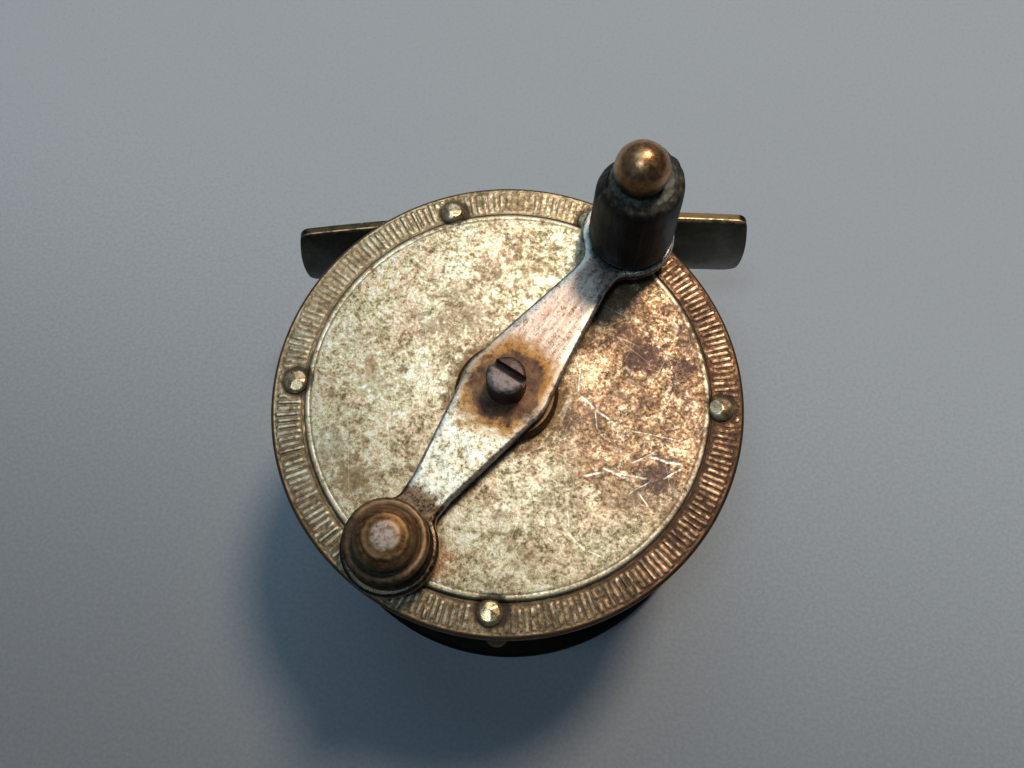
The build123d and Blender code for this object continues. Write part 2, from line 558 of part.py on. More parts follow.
with BuildPart() as crank_arm:
    with BuildSketch(Plane.XY.offset(ARM_Z)) as arm_outline:
        Circle(ARM_MID_HALF)
        with BuildLine():
            Polyline(
                along(KNOB_ANGLE, 0, 5.6), along(KNOB_ANGLE, 2.6, 5.3), along(KNOB_ANGLE, 7.0, 4.65),
                along(KNOB_ANGLE, 17.8, 2.8), along(KNOB_ANGLE, KNOB_R, 2.5), along(KNOB_ANGLE, KNOB_R, -2.5),
                along(KNOB_ANGLE, 17.8, -2.5), along(KNOB_ANGLE, 7.0, -4.35), along(KNOB_ANGLE, 2.6, -5.2),
                along(KNOB_ANGLE, 0, -5.6), close=True)
        make_face()
        with BuildLine():
            Polyline(
                along(WEIGHT_ANGLE, 0, 5.6), along(WEIGHT_ANGLE, 2.6, 5.2), along(WEIGHT_ANGLE, 7.0, 4.35),
                along(WEIGHT_ANGLE, 15.6, 2.75), along(WEIGHT_ANGLE, WEIGHT_R, 2.4), along(WEIGHT_ANGLE, WEIGHT_R, -2.4),
                along(WEIGHT_ANGLE, 15.6, -2.75), along(WEIGHT_ANGLE, 7.0, -4.35), along(WEIGHT_ANGLE, 2.6, -5.2),
                along(WEIGHT_ANGLE, 0, -5.6), close=True)
        make_face()
        with Locations((KX, KY)):
            Circle(ARM_END_R)
        with Locations((WX + 0.2, WY)):
            Circle(ARM_END_R - 0.25)
        # the inner corners where the bar meets its round ends
        fillet(arm_outline.vertices().sort_by_distance(along(KNOB_ANGLE, 20.7, 2.7))[0], 3.0)
        fillet(arm_outline.vertices().sort_by_distance(along(KNOB_ANGLE, 20.6, -2.5))[0], 2.0)
        fillet(arm_outline.vertices().sort_by_distance(along(WEIGHT_ANGLE, 18.8, 2.5))[0], 1.6)
        fillet(arm_outline.vertices().sort_by_distance(along(WEIGHT_ANGLE, 18.8, -2.5))[0], 1.6)
    extrude(amount=ARM_T)
    chamfer(crank_arm.faces().sort_by(Axis.Z)[-1].edges(), 0.22)
    with BuildSketch(Plane.XY.offset(ARM_Z - 1)):
        Rectangle(SQUARE + 0.02, SQUARE + 0.02, rotation=KNOB_ANGLE)
        with Locations((PX, PY), (QX, QY)):
            Circle(KNOB_PIN_R)
    extrude(amount=4, mode=Mode.SUBTRACT)
crank_arm.part.label = "crank_arm"
export_step(crank_arm.part, "parts/crank_arm.step")

# slotted cheese-head screw that holds the arm on the spindle
with BuildPart() as crank_screw:
    with BuildSketch(RZ):
        with BuildLine():
            Polyline(
                (0, ARM_TOP + 4.2), (0, ARM_TOP - 4.5), (1.1, ARM_TOP - 4.5), (1.1, ARM_TOP),
                (2.45, ARM_TOP), (2.45, ARM_TOP + 3.6))
            ThreePointArc((2.45, ARM_TOP + 3.6), (2.2, ARM_TOP + 4.03), (1.7, ARM_TOP + 4.2))
            Line((1.7, ARM_TOP + 4.2), (0, ARM_TOP + 4.2))
        make_face()
    revolve(axis=Axis.Z)
    with BuildSketch(Plane.XY.offset(ARM_TOP + 2.9)):
        with Locations(along(-30.0, 0, 0.55)):
            Rectangle(6, 1.1, rotation=-30.0)
    extrude(amount=2, mode=Mode.SUBTRACT)
crank_screw.part.label = "crank_screw"
export_step(crank_screw.part, "parts/crank_screw.step")

# thin washer under the knob
with BuildPart() as knob_washer:
    with BuildSketch(Plane.XY.offset(ARM_TOP)):
        with Locations((PX, PY)):
            Circle(4.6)
            Circle(KNOB_PIN_R, mode=Mode.SUBTRACT)
    extrude(amount=0.35)
knob_washer.part.label = "knob_washer"
export_step(knob_washer.part, "parts/knob_washer.step")

# rivet that the knob turns on: peened under the arm, a ball on top
with BuildPart() as knob_pin:
    with BuildSketch(turned(None, (PX, PY))):
        Polygon(
            (0, ARM_Z - 0.8), (2.0, ARM_Z - 0.8), (2.4, ARM_Z - 0.4), (2.4, ARM_Z),
            (KNOB_PIN_R, ARM_Z), (KNOB_PIN_R, BALL_Z), (0, BALL_Z), align=None)
    revolve(axis=Axis(origin=(PX, PY, 0), direction=(0, 0, 1)))
    foot_z = KNOB_TOP - 0.17               # flat underside of the ball
    drop = BALL_Z - foot_z
    with BuildSketch(turned(None, (PX - BALL_OFF, PY))):
        with BuildLine():
            r0 = math.sqrt(BALL_R ** 2 - drop ** 2)
            half = (math.pi - math.asin(r0 / BALL_R)) / 2
            Line((0, foot_z), (r0, foot_z))
            ThreePointArc(
                (r0, foot_z), (BALL_R * math.sin(half), BALL_Z + BALL_R * math.cos(half)),
                (0, BALL_Z + BALL_R))
            Line((0, BALL_Z + BALL_R), (0, foot_z))
        make_face()
    revolve(axis=Axis(origin=(PX - BALL_OFF, PY, 0), direction=(0, 0, 1)))
knob_pin.part.label = "knob_pin"
export_step(knob_pin.part, "parts/knob_pin.step")

# handle knob: turned, nearly cylindrical, rounded shoulder and recessed top
with BuildPart() as handle_knob:
    with BuildSketch(turned(None, (PX, PY))):
        with BuildLine():
            b = KNOB_PIN_R + FIT
            Polyline(
                (b, KNOB_TOP - 0.25), (b, KNOB_Z0), (5.0, KNOB_Z0), (5.3, H + 4.6),
                (5.42, H + 5.2))
            Spline(
                (5.42, H + 5.2), (5.34, H + 10), (5.26, H + 13.5), (5.18, H + 16.6))
            ThreePointArc(
                (5.18, H + 16.6), (5.06, H + 17.5), (4.75, H + 17.95))
            Polyline(
                (4.75, H + 17.95), (4.3, KNOB_TOP), (4.1, KNOB_TOP - 0.03), (3.9, KNOB_TOP - 0.25),
                (b, KNOB_TOP - 0.25))
        make_face()
    revolve(axis=Axis(origin=(PX, PY, 0), direction=(0, 0, 1)))
handle_knob.part.label = "handle_knob"
export_step(handle_knob.part, "parts/handle_knob.step")

# counterweight: turned drum with a rolled ring, and a dome that leans a little
LEAN = math.radians(6.5)
with BuildPart() as counterweight:
    with BuildSketch(turned(None, (QX, QY))):
        with BuildLine():
            Polyline((0, H + 8.2), (0, ARM_Z - 0.7), (1.9, ARM_Z - 0.7), (2.3, ARM_Z - 0.3),
                     (2.3, ARM_Z), (KNOB_PIN_R, ARM_Z), (KNOB_PIN_R, ARM_TOP), (4.95, ARM_TOP),
                     (5.15, H + 4.1), (5.15, H + 4.9), (4.7, H + 5.4), (4.55, H + 6.1), (4.7, H + 6.9))
            ThreePointArc((4.7, H + 6.9), (5.0, H + 7.5), (4.6, H + 8.1))
            ThreePointArc((4.6, H + 8.1), (4.2, H + 8.15), (3.9, H + 7.8))
            Polyline((3.9, H + 7.8), (3.2, H + 8.2), (0, H + 8.2))
        make_face()
    revolve(axis=Axis(origin=(QX, QY, 0), direction=(0, 0, 1)))
    lean_up = (math.sin(LEAN), 0, math.cos(LEAN))
    with BuildSketch(Plane(origin=(QX, QY, H + 7.4), x_dir=(math.cos(LEAN), 0, -math.sin(LEAN)),
                           z_dir=(0, -1, 0))):
        with BuildLine():
            Polyline((0, 3.9), (0, -0.6), (3.4, -0.6), (3.75, 1.0))
            ThreePointArc((3.75, 1.0), (3.5, 2.35), (2.72, 3.3))
            Polyline((2.72, 3.3), (2.62, 3.55))
            ThreePointArc((2.62, 3.55), (2.15, 3.82), (1.57, 3.9))
            Line((1.57, 3.9), (0, 3.9))
        make_face()
    revolve(axis=Axis(origin=(QX, QY, H + 7.4), direction=lean_up))
counterweight.part.label = "counterweight"
export_step(counterweight.part, "parts/counterweight.step")

print("knob axis", PX, PY, "weight axis", QX, QY)
print("foot middle", FOOT_O, "screws", [foot_point(a_, i_ + FOOT_T, 0) for a_, i_ in FOOT_SCREWS])
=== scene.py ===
import math
import random

import bmesh
import bpy
import numpy as np
from mathutils import Matrix, Vector, noise
from mathutils.geometry import delaunay_2d_cdt


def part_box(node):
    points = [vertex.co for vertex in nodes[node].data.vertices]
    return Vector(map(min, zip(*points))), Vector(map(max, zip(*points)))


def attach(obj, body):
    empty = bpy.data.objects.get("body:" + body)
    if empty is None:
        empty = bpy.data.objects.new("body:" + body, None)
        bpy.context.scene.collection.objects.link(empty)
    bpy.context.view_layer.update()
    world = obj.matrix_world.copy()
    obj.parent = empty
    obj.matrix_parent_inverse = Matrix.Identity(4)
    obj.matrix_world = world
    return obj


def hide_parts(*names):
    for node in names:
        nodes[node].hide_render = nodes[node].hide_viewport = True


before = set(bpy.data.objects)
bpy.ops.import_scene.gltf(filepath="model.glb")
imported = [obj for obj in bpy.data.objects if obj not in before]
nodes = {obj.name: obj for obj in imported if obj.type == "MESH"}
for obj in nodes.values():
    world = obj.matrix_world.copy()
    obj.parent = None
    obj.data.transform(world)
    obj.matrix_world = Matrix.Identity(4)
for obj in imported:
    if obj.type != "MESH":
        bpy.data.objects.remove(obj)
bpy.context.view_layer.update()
MM = 0.001

# heights and axes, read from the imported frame
HEAD_LO, HEAD_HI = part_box("head_plate")
DISC_Z = HEAD_HI.z / MM
H = DISC_Z - 0.5
TAIL_LO, TAIL_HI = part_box("tail_plate")
ARM_LO, ARM_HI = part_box("crank_arm")
ARM_Z, ARM_TOP = ARM_LO.z / MM, ARM_HI.z / MM
KNOB_LO, KNOB_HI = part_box("handle_knob")
PX, PY = (KNOB_LO.x + KNOB_HI.x) / 2 / MM, (KNOB_LO.y + KNOB_HI.y) / 2 / MM
BALL_OFF = 0.28
PLATE_R = 30.0
PITCH_R = 27.0
RIVET_ANGLES = (0, 180, 270, 70, 110)
SCREW_LO, SCREW_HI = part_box("crank_screw")
WEIGHT_ANGLE, WEIGHT_R = 239.0, 24.1
WX = WEIGHT_R * math.cos(math.radians(WEIGHT_ANGLE))
WY = WEIGHT_R * math.sin(math.radians(WEIGHT_ANGLE))
QX, QY = WX + 0.33, WY
KNOB_ANGLE, KNOB_R = 57.2, 26.2
KX = KNOB_R * math.cos(math.radians(KNOB_ANGLE))
KY = KNOB_R * math.sin(math.radians(KNOB_ANGLE))


def polar(r, a):
    return (r * math.cos(math.radians(a)), r * math.sin(math.radians(a)))


def fbm(x, y, z, octaves=3, seed=0.0):
    """Fractal noise about -1..1."""
    v, a, t = 0.0, 1.0, 0.0
    for _ in range(octaves):
        v += a * noise.noise(Vector((x + seed, y - seed, z + 2 * seed)))
        t += a
        a *= 0.5
        x, y, z = x * 2, y * 2, z * 2
    return v / t


# ------------------------------------------------------------------ meshes
def make(name, verts, faces, body, slot, replaced=(), attrs=None, smooth=True, sharp=None):
    me = bpy.data.meshes.new(name)
    me.from_pydata([(x * MM, y * MM, z * MM) for x, y, z in verts], [], faces)
    me.validate()
    me.update()
    for key, vals in (attrs or {}).items():
        layer = me.attributes.new(key, "FLOAT", "POINT")
        layer.data.foreach_set("value", np.array(vals, np.float32))
    ob = bpy.data.objects.new(name, me)
    bpy.context.scene.collection.objects.link(ob)
    bm = bmesh.new()
    bm.from_mesh(me)
    bmesh.ops.recalc_face_normals(bm, faces=bm.faces)
    for f in bm.faces:
        f.smooth = smooth
    if sharp:
        lim = math.radians(sharp)
        for e in bm.edges:
            if len(e.link_faces) == 2 and e.calc_face_angle(0) > lim:
                e.smooth = False
    bm.to_mesh(me)
    bm.free()
    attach(ob, body)
    if replaced:
        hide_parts(*replaced)
    return ob


def dense(profile, step=0.35):
    """The profile's points with more put in between, ends kept."""
    out = [profile[0]]
    for (r0, z0), (r1, z1) in zip(profile, profile[1:]):
        n = max(1, int(math.ceil(math.hypot(r1 - r0, z1 - z0) / step)))
        out += [(r0 + (r1 - r0) * i / n, z0 + (z1 - z0) * i / n) for i in range(1, n + 1)]
    return out


def arc(cx, cz, r, a0, a1, n):
    return [(cx + r * math.cos(math.radians(a0 + (a1 - a0) * i / n)),
             cz + r * math.sin(math.radians(a0 + (a1 - a0) * i / n))) for i in range(n + 1)]


def lathe_data(profile, seg, at=(0, 0), shape=None, closed=False, phase=0.0):
    """Rings of a turned profile (r, z). Points on the axis become one vertex.
    shape(r, a, z) -> (r, z) lets a ring leave the round."""
    verts, rings = [], []
    for r, z in profile:
        if r < 1e-6:
            rings.append([len(verts)])
            verts.append((at[0], at[1], z))
            continue
        ring = []
        for i in range(seg):
            a = 2 * math.pi * i / seg + phase
            rr, zz = shape(r, a, z) if shape else (r, z)
            ring.append(len(verts))
            verts.append((at[0] + rr * math.cos(a), at[1] + rr * math.sin(a), zz))
        rings.append(ring)
    faces = []
    pairs = list(zip(rings, rings[1:]))
    if closed:
        pairs.append((rings[-1], rings[0]))
    for p, q in pairs:
        if len(p) == 1 and len(q) == 1:
            continue
        for i in range(seg):
            j = (i + 1) % seg
            if len(p) == 1:
                faces.append((p[0], q[i], q[j]))
            elif len(q) == 1:
                faces.append((p[i], q[0], p[j]))
            else:
                faces.append((p[i], q[i], q[j], p[j]))
    return verts, faces


def join_data(parts):
    verts, faces = [], []
    for v, f in parts:
        o = len(verts)
        verts += v
        faces += [tuple(i + o for i in q) for q in f]
    return verts, faces


# ------------------------------------------------------------------ shading
class Nodes:
    """A short way to write a node tree."""

    def __init__(self, name):
        self.mat = bpy.data.materials.new(name)
        self.mat.use_nodes = True
        self.t = self.mat.node_tree
        self.t.nodes.clear()
        self.out = self.t.nodes.new("ShaderNodeOutputMaterial")
        self.bsdf = self.t.nodes.new("ShaderNodeBsdfPrincipled")
        self.t.links.new(self.bsdf.outputs[0], self.out.inputs[0])
        self.coord = self.t.nodes.new("ShaderNodeTexCoord").outputs["Object"]

    def link(self, a, b):
        if hasattr(a, "is_output") or isinstance(a, bpy.types.NodeSocket):
            self.t.links.new(a, b)
        else:
            b.default_value = a

    def noise(self, size, detail=4, rough=0.55, dist=0.0, lac=2.0, vec=None, out=0):
        """size is the feature size in millimetres."""
        n = self.t.nodes.new("ShaderNodeTexNoise")
        n.inputs["Scale"].default_value = 1000.0 / size
        n.inputs["Detail"].default_value = detail
        n.inputs["Roughness"].default_value = rough
        n.inputs["Distortion"].default_value = dist
        n.inputs["Lacunarity"].default_value = lac
        self.link(vec if vec is not None else self.coord, n.inputs["Vector"])
        return n.outputs[out]

    def voronoi(self, size, feature="F1", vec=None, rnd=1.0, out="Distance"):
        n = self.t.nodes.new("ShaderNodeTexVoronoi")
        n.feature = feature
        n.inputs["Scale"].default_value = 1000.0 / size
        n.inputs["Randomness"].default_value = rnd
        self.link(vec if vec is not None else self.coord, n.inputs["Vector"])
        return n.outputs[out]

    def m(self, op, a, b=0.0, c=0.0, clamp=False):
        n = self.t.nodes.new("ShaderNodeMath")
        n.operation = op
        n.use_clamp = clamp
        self.link(a, n.inputs[0])
        self.link(b, n.inputs[1])
        if op in ("MULTIPLY_ADD", "SMOOTH_MIN", "SMOOTH_MAX", "WRAP", "COMPARE"):
            self.link(c, n.inputs[2])
        return n.outputs[0]

    def span(self, v, lo, hi, to_lo=0.0, to_hi=1.0, smooth=True):
        n = self.t.nodes.new("ShaderNodeMapRange")
        n.interpolation_type = "SMOOTHSTEP" if smooth else "LINEAR"
        n.clamp = True
        self.link(v, n.inputs["Value"])
        n.inputs["From Min"].default_value = lo
        n.inputs["From Max"].default_value = hi
        n.inputs["To Min"].default_value = to_lo
        n.inputs["To Max"].default_value = to_hi
        return n.outputs["Result"]

    def ramp(self, v, stops, mode="LINEAR"):
        n = self.t.nodes.new("ShaderNodeValToRGB")
        n.color_ramp.interpolation = mode
        e = n.color_ramp.elements
        while len(e) > 1:
            e.remove(e[-1])
        e[0].position, e[0].color = stops[0][0], (*stops[0][1], 1)
        for p, c in stops[1:]:
            x = e.new(p)
            x.color = (*c, 1)
        self.link(v, n.inputs[0])
        return n.outputs[0]

    def mix(self, f, a, b, mode="MIX"):
        n = self.t.nodes.new("ShaderNodeMix")
        n.data_type = "RGBA"
        n.blend_type = mode
        n.clamp_factor = True
        self.link(f, n.inputs[0])
        for v, i in ((a, 6), (b, 7)):
            if isinstance(v, tuple):
                n.inputs[i].default_value = (*v, 1)
            else:
                self.link(v, n.inputs[i])
        return n.outputs[2]

    def xyz(self, vec=None):
        n = self.t.nodes.new("ShaderNodeSeparateXYZ")
        self.link(vec if vec is not None else self.coord, n.inputs[0])
        return n.outputs

    def combine(self, x, y, z):
        n = self.t.nodes.new("ShaderNodeCombineXYZ")
        self.link(x, n.inputs[0])
        self.link(y, n.inputs[1])
        self.link(z, n.inputs[2])
        return n.outputs[0]

    def place(self, at=(0, 0, 0), rot=(0, 0, 0), scale=(1, 1, 1), vec=None):
        n = self.t.nodes.new("ShaderNodeMapping")
        n.vector_type = "TEXTURE"
        n.inputs["Location"].default_value = [x * MM for x in at]
        n.inputs["Rotation"].default_value = [math.radians(x) for x in rot]
        n.inputs["Scale"].default_value = scale
        self.link(vec if vec is not None else self.coord, n.inputs["Vector"])
        return n.outputs[0]

    def dist(self, at, vec=None, flat=True):
        """Distance in millimetres from a point, in plan if flat."""
        n = self.t.nodes.new("ShaderNodeVectorMath")
        n.operation = "DISTANCE"
        v = vec if vec is not None else self.coord
        if flat:
            o = self.xyz(v)
            v = self.combine(o[0], o[1], 0.0)
        self.link(v, n.inputs[0])
        n.inputs[1].default_value = [at[0] * MM, at[1] * MM, (0 if flat else at[2]) * MM]
        return self.m("MULTIPLY", n.outputs["Value"], 1000.0)

    def polar(self, at=(0, 0)):
        """(angle in turns, radius in mm) about a vertical axis."""
        o = self.xyz()
        x = self.m("SUBTRACT", o[0], at[0] * MM)
        y = self.m("SUBTRACT", o[1], at[1] * MM)
        a = self.m("DIVIDE", self.m("ARCTAN2", y, x), 2 * math.pi)
        return a, self.dist(at)

    def blob(self, x, y, r, jag=None, amount=1.0):
        """1 inside a soft stain at a place in plan, 0 outside; jag roughens its border."""
        d = self.dist((x, y))
        if jag is not None:
            d = self.m("ADD", d, self.m("MULTIPLY", self.m("SUBTRACT", jag, 0.5), r * 4.0))
        return self.span(d, r * 0.45, r * 1.15, amount, 0.0)

    def stroke(self, x0, y0, x1, y1, w):
        """1 on a thin straight scratch between two points in plan."""
        ang = math.degrees(math.atan2(y1 - y0, x1 - x0))
        v = self.place(((x0 + x1) / 2, (y0 + y1) / 2, 0), (0, 0, ang))
        o = self.xyz(v)
        half = math.hypot(x1 - x0, y1 - y0) / 2 * MM
        a = self.span(self.m("ABSOLUTE", o[0]), half * 0.55, half, 1.0, 0.0)
        wave = self.m("MULTIPLY", self.m("SUBTRACT", self.noise(3.0, 3, 0.6), 0.5), 0.0006)
        b = self.span(self.m("ABSOLUTE", self.m("ADD", o[1], wave)), w * 0.6 * MM, w * 2.0 * MM, 1.0, 0.0)
        return self.m("MULTIPLY", a, b)

    def attr(self, name):
        n = self.t.nodes.new("ShaderNodeAttribute")
        n.attribute_name = name
        return n.outputs["Fac"]

    def normal_z(self):
        n = self.t.nodes.new("ShaderNodeNewGeometry")
        return self.xyz(n.outputs["Normal"])[2]

    def bump(self, height, strength, dist_mm, normal=None):
        n = self.t.nodes.new("ShaderNodeBump")
        n.inputs["Strength"].default_value = strength
        n.inputs["Distance"].default_value = dist_mm * MM
        self.link(height, n.inputs["Height"])
        if normal is not None:
            self.link(normal, n.inputs["Normal"])
        return n.outputs[0]

    def done(self, color, rough, metal, normal=None, **more):
        b = self.bsdf
        for v, key in ((color, "Base Color"), (rough, "Roughness"), (metal, "Metallic")):
            if isinstance(v, tuple):
                b.inputs[key].default_value = (*v, 1)
            else:
                self.link(v, b.inputs[key])
        if normal is not None:
            self.t.links.new(normal, b.inputs["Normal"])
        for k, v in more.items():
            b.inputs[k.replace("_", " ")].default_value = v
        return self.mat


def nickel(name, warm_side=True, dirty=0.0):
    """Old nickel plating on brass: cream silver, speckled olive and brown, copper where worn through."""
    n = Nodes(name)
    big = n.noise(9.0, 5, 0.6, 0.4)
    mid = n.noise(2.6, 6, 0.65, 0.6)
    fine = n.noise(0.55, 5, 0.7)
    grain = n.noise(0.22, 3, 0.7)
    silver = n.ramp(n.noise(5.0, 4, 0.6, 0.3), [
        (0.30, (0.46, 0.42, 0.31)), (0.50, (0.58, 0.55, 0.43)), (0.70, (0.70, 0.68, 0.57))])
    olive = n.ramp(fine, [(0.35, (0.16, 0.12, 0.055)), (0.65, (0.34, 0.27, 0.15))])
    col = n.mix(n.span(n.m("ADD", n.m("MULTIPLY", mid, 0.55), n.m("MULTIPLY", fine, 0.45)), 0.52 - 0.05 * dirty, 0.60), silver, olive)
    # copper where the plating has gone thin, and painted warm light, both stronger to the right
    o = n.xyz()
    side = n.span(n.m("ADD", n.m("MULTIPLY", o[0], 1000.0), n.m("MULTIPLY", big, 14.0)), 4.0, 34.0)
    copper = n.ramp(grain, [(0.3, (0.42, 0.20, 0.085)), (0.7, (0.70, 0.40, 0.22))])
    if warm_side:
        col = n.mix(n.m("MULTIPLY", n.m("MULTIPLY", side, n.span(fine, 0.36, 0.62)), 0.85), col, copper)
    # dark spots
    spots = n.span(n.m("ADD", n.voronoi(2.1), n.m("MULTIPLY", mid, 0.5)), 0.30, 0.42, 1.0, 0.0)
    spots2 = n.span(n.m("ADD", n.noise(3.6, 7, 0.7, 1.2), n.m("MULTIPLY", n.noise(14.0, 2), 0.35)), 0.735 - 0.05 * dirty, 0.80)
    dark = n.m("MAXIMUM", n.m("MULTIPLY", spots, 0.55), n.m("MULTIPLY", spots2, 0.9))
    col = n.mix(dark, col, (0.085, 0.052, 0.026))
    rough = n.m("ADD", n.span(fine, 0.35, 0.65, 0.30, 0.48), n.m("MULTIPLY", dark, 0.22))
    metal = n.m("SUBTRACT", 0.92, n.m("MULTIPLY", dark, 0.5))
    return n, col, rough, metal, dark, mid, fine, grain


def finish_simple(name, a, b, c, size=2.0, metal=0.85, rough=(0.35, 0.6), spot=(0.05, 0.035, 0.02), bump=0.25, dirt=0.62):
    """Tarnished metal in three tones, with darker spots and fine pitting."""
    n = Nodes(name)
    big = n.noise(size * 2.2, 5, 0.6, 0.5)
    fine = n.noise(size * 0.35, 5, 0.68)
    col = n.ramp(n.m("ADD", n.m("MULTIPLY", big, 0.6), n.m("MULTIPLY", fine, 0.4)), [(0.36, a), (0.5, b), (0.66, c)])
    d = n.span(n.noise(size, 6, 0.7, 0.8), dirt, dirt + 0.07)
    col = n.mix(n.m("MULTIPLY", d, 0.8), col, spot)
    r = n.m("ADD", n.span(fine, 0.3, 0.7, rough[0], rough[1]), n.m("MULTIPLY", d, 0.15))
    h = n.m("SUBTRACT", n.noise(0.3, 4, 0.7), n.m("MULTIPLY", d, 0.5))
    nr = n.bump(h, bump, 0.12)
    return n.done(col, r, n.m("SUBTRACT", metal, n.m("MULTIPLY", d, 0.4)), nr)


def paint(ob, material):
    ob.data.materials.clear()
    ob.data.materials.append(material)


# ------------------------------------------------------------------ head plate
random.seed(11)
SEG = 1320
RIDGES = 220
ridge_amp = [random.uniform(0.45, 1.0) for _ in range(RIDGES)]
ridge_shift = [random.uniform(-0.05, 0.05) for _ in range(RIDGES)]
ridge_in = [26.15 + random.uniform(-0.05, 0.35) for _ in range(RIDGES)]
ridge_out = [29.42 + random.uniform(-0.35, 0.08) for _ in range(RIDGES)]
ridge_gap = [random.random() < 0.07 for _ in range(RIDGES)]
RIVET_XY = [polar(PITCH_R, a) for a in RIVET_ANGLES]


def smoothstep(x, lo, hi):
    t = min(1.0, max(0.0, (x - lo) / (hi - lo)))
    return t * t * (3 - 2 * t)


def ridge(r, a):
    """Height of the milled ridges above the floor between them, 0 to 1."""
    u = (a / (2 * math.pi) * RIDGES) % RIDGES
    k = int(u)
    f = u - k - 0.5 - ridge_shift[k]
    f += 0.05 * noise.noise(Vector((r * 1.3, k * 0.7, 4.0)))
    core = (1 - smoothstep(abs(f), 0.18, 0.33)) * (0.80 + 0.20 * smoothstep(abs(f), 0.04, 0.16))
    ends = smoothstep(r, ridge_in[k], ridge_in[k] + 0.25) * (1 - smoothstep(r, ridge_out[k] - 0.25, ridge_out[k]))
    if ridge_gap[k]:
        ends *= smoothstep(abs(r - 27.7), 0.12, 0.34)
    x, y = r * math.cos(a), r * math.sin(a)
    worn = 0.66 + 1.1 * fbm(x * 0.11, y * 0.11, 0.3, 2, 5.0) + 0.5 * fbm(x * 1.1, y * 1.1, 0.3, 2, 8.0)
    near = min(math.hypot(x - px, y - py) for px, py in RIVET_XY)
    return core * ends * ridge_amp[k] * min(1.0, max(0.12, worn)) * smoothstep(near, 1.85, 2.6)


top = []
for r in [4.2, 6.0, 9.0, 12.0, 15.0, 18.0, 20.5, 22.5, 23.8, 24.6]:
    top.append((r, DISC_Z))
top += [(24.85, DISC_Z - 0.004), (24.92, DISC_Z - 0.030), (25.0, DISC_Z - 0.006), (25.2, DISC_Z), (25.42, DISC_Z - 0.02), (25.55, DISC_Z - 0.08),
        (25.63, DISC_Z - 0.20), (25.69, DISC_Z - 0.36), (25.72, DISC_Z - 0.52), (25.76, H - 0.09), (25.84, H - 0.09), (25.92, H - 0.02), (26.0, H)]
band = [(r, H) for r in [26.12, 26.25, 26.4, 26.6, 26.8, 27.05, 27.3, 27.5, 27.6, 27.7, 27.8, 27.9, 28.1, 28.35, 28.6, 28.75, 28.9, 29.05, 29.15, 29.25, 29.35, 29.45]]
rim = [(29.55, H - 0.02), (29.66, H - 0.05), (29.8, H - 0.10), (29.93, H - 0.24), (PLATE_R, H - 0.45), (PLATE_R, H - 1.2),
       (PLATE_R, H - 1.85), (29.9, H - 2.0), (29.7, H - 2.1), (29.2, H - 2.1), (29.05, H - 1.9), (29.0, H - 1.6),
       (26.0, H - 1.6), (24.6, H - 1.6), (24.2, H - 1.1), (14.0, H - 1.1), (4.2, H - 1.1)]
profile = top + band + rim
verts, rings, edge_attr, height_attr = [], [], [], []
band_lo, band_hi = len(top), len(top) + len(band)
for k, (r, z) in enumerate(profile):
    ring = []
    for i in range(SEG):
        a = 2 * math.pi * i / SEG
        h = 0.0
        if band_lo <= k < band_hi:
            h = ridge(r, a)
        dz = h * 0.17 - (0.05 if band_lo <= k < band_hi else 0.0)
        ring.append(len(verts))
        wob = 0.0
        if z >= H - 0.3 and k > 3:
            wob = 0.018 * math.sin(3 * a + r) + 0.012 * math.sin(7 * a + 1.3)
        verts.append(((r + wob * 0.5) * math.cos(a), (r + wob * 0.5) * math.sin(a), z + dz))
        height_attr.append(h)
        edge_attr.append((0.0, 0.0, 0.3, 0.7, 1.0, 1.0, 0.5)[k - 10] if 10 <= k <= 16 else (0.8 if PLATE_R - 0.45 < r <= PLATE_R and z > H - 0.5 else 0.0))
    rings.append(ring)
faces = []
for p, q in list(zip(rings, rings[1:])) + [(rings[-1], rings[0])]:
    for i in range(SEG):
        j = (i + 1) % SEG
        faces.append((p[i], q[i], q[j], p[j]))
head = make("head_plate_milled", verts, faces, "frame", "worn_nickel_plate", ["head_plate"],
            {"ridge": height_attr, "edge": edge_attr}, sharp=50)

n = Nodes("worn_nickel")
o = n.xyz()
X = n.m("MULTIPLY", o[0], 1000.0)
Y = n.m("MULTIPLY", o[1], 1000.0)
fine1 = n.noise(0.95, 8, 0.74)
fine2 = n.noise(0.33, 6, 0.70)
med = n.noise(4.2, 7, 0.66, 0.3)
big = n.noise(13.0, 4, 0.55)
fine1b = n.noise(0.55, 7, 0.76, 0.2)
mott = n.m("ADD", n.m("ADD", n.m("MULTIPLY", fine1, 0.30), n.m("MULTIPLY", med, 0.20)), n.m("ADD", n.m("MULTIPLY", fine1b, 0.28), n.m("MULTIPLY", fine2, 0.22)))
cream = n.ramp(mott, [(0.415, (0.115, 0.080, 0.037)), (0.446, (0.215, 0.170, 0.090)), (0.472, (0.345, 0.305, 0.185)),
                      (0.503, (0.47, 0.445, 0.32)), (0.538, (0.61, 0.60, 0.48)), (0.58, (0.80, 0.80, 0.70))])
tan = n.ramp(mott, [(0.425, (0.10, 0.058, 0.028)), (0.455, (0.20, 0.130, 0.072)), (0.480, (0.325, 0.235, 0.145)),
                    (0.513, (0.455, 0.36, 0.25)), (0.55, (0.59, 0.52, 0.41)), (0.59, (0.76, 0.72, 0.62))])
hue = n.m("ADD", n.m("MULTIPLY", n.noise(6.5, 6, 0.62, 0.3), 0.6), n.m("MULTIPLY", n.noise(2.1, 5, 0.68), 0.4))
cream = n.mix(n.span(hue, 0.465, 0.545, 0.0, 0.85), cream, tan)
jit = n.noise(0.75, 4, 0.6, vec=n.place((31.0, 17.0, 0.0)))
cream = n.mix(n.span(jit, 0.50, 0.62, 0.0, 0.45), cream, n.mix(0.5, cream, (0.36, 0.40, 0.22)))
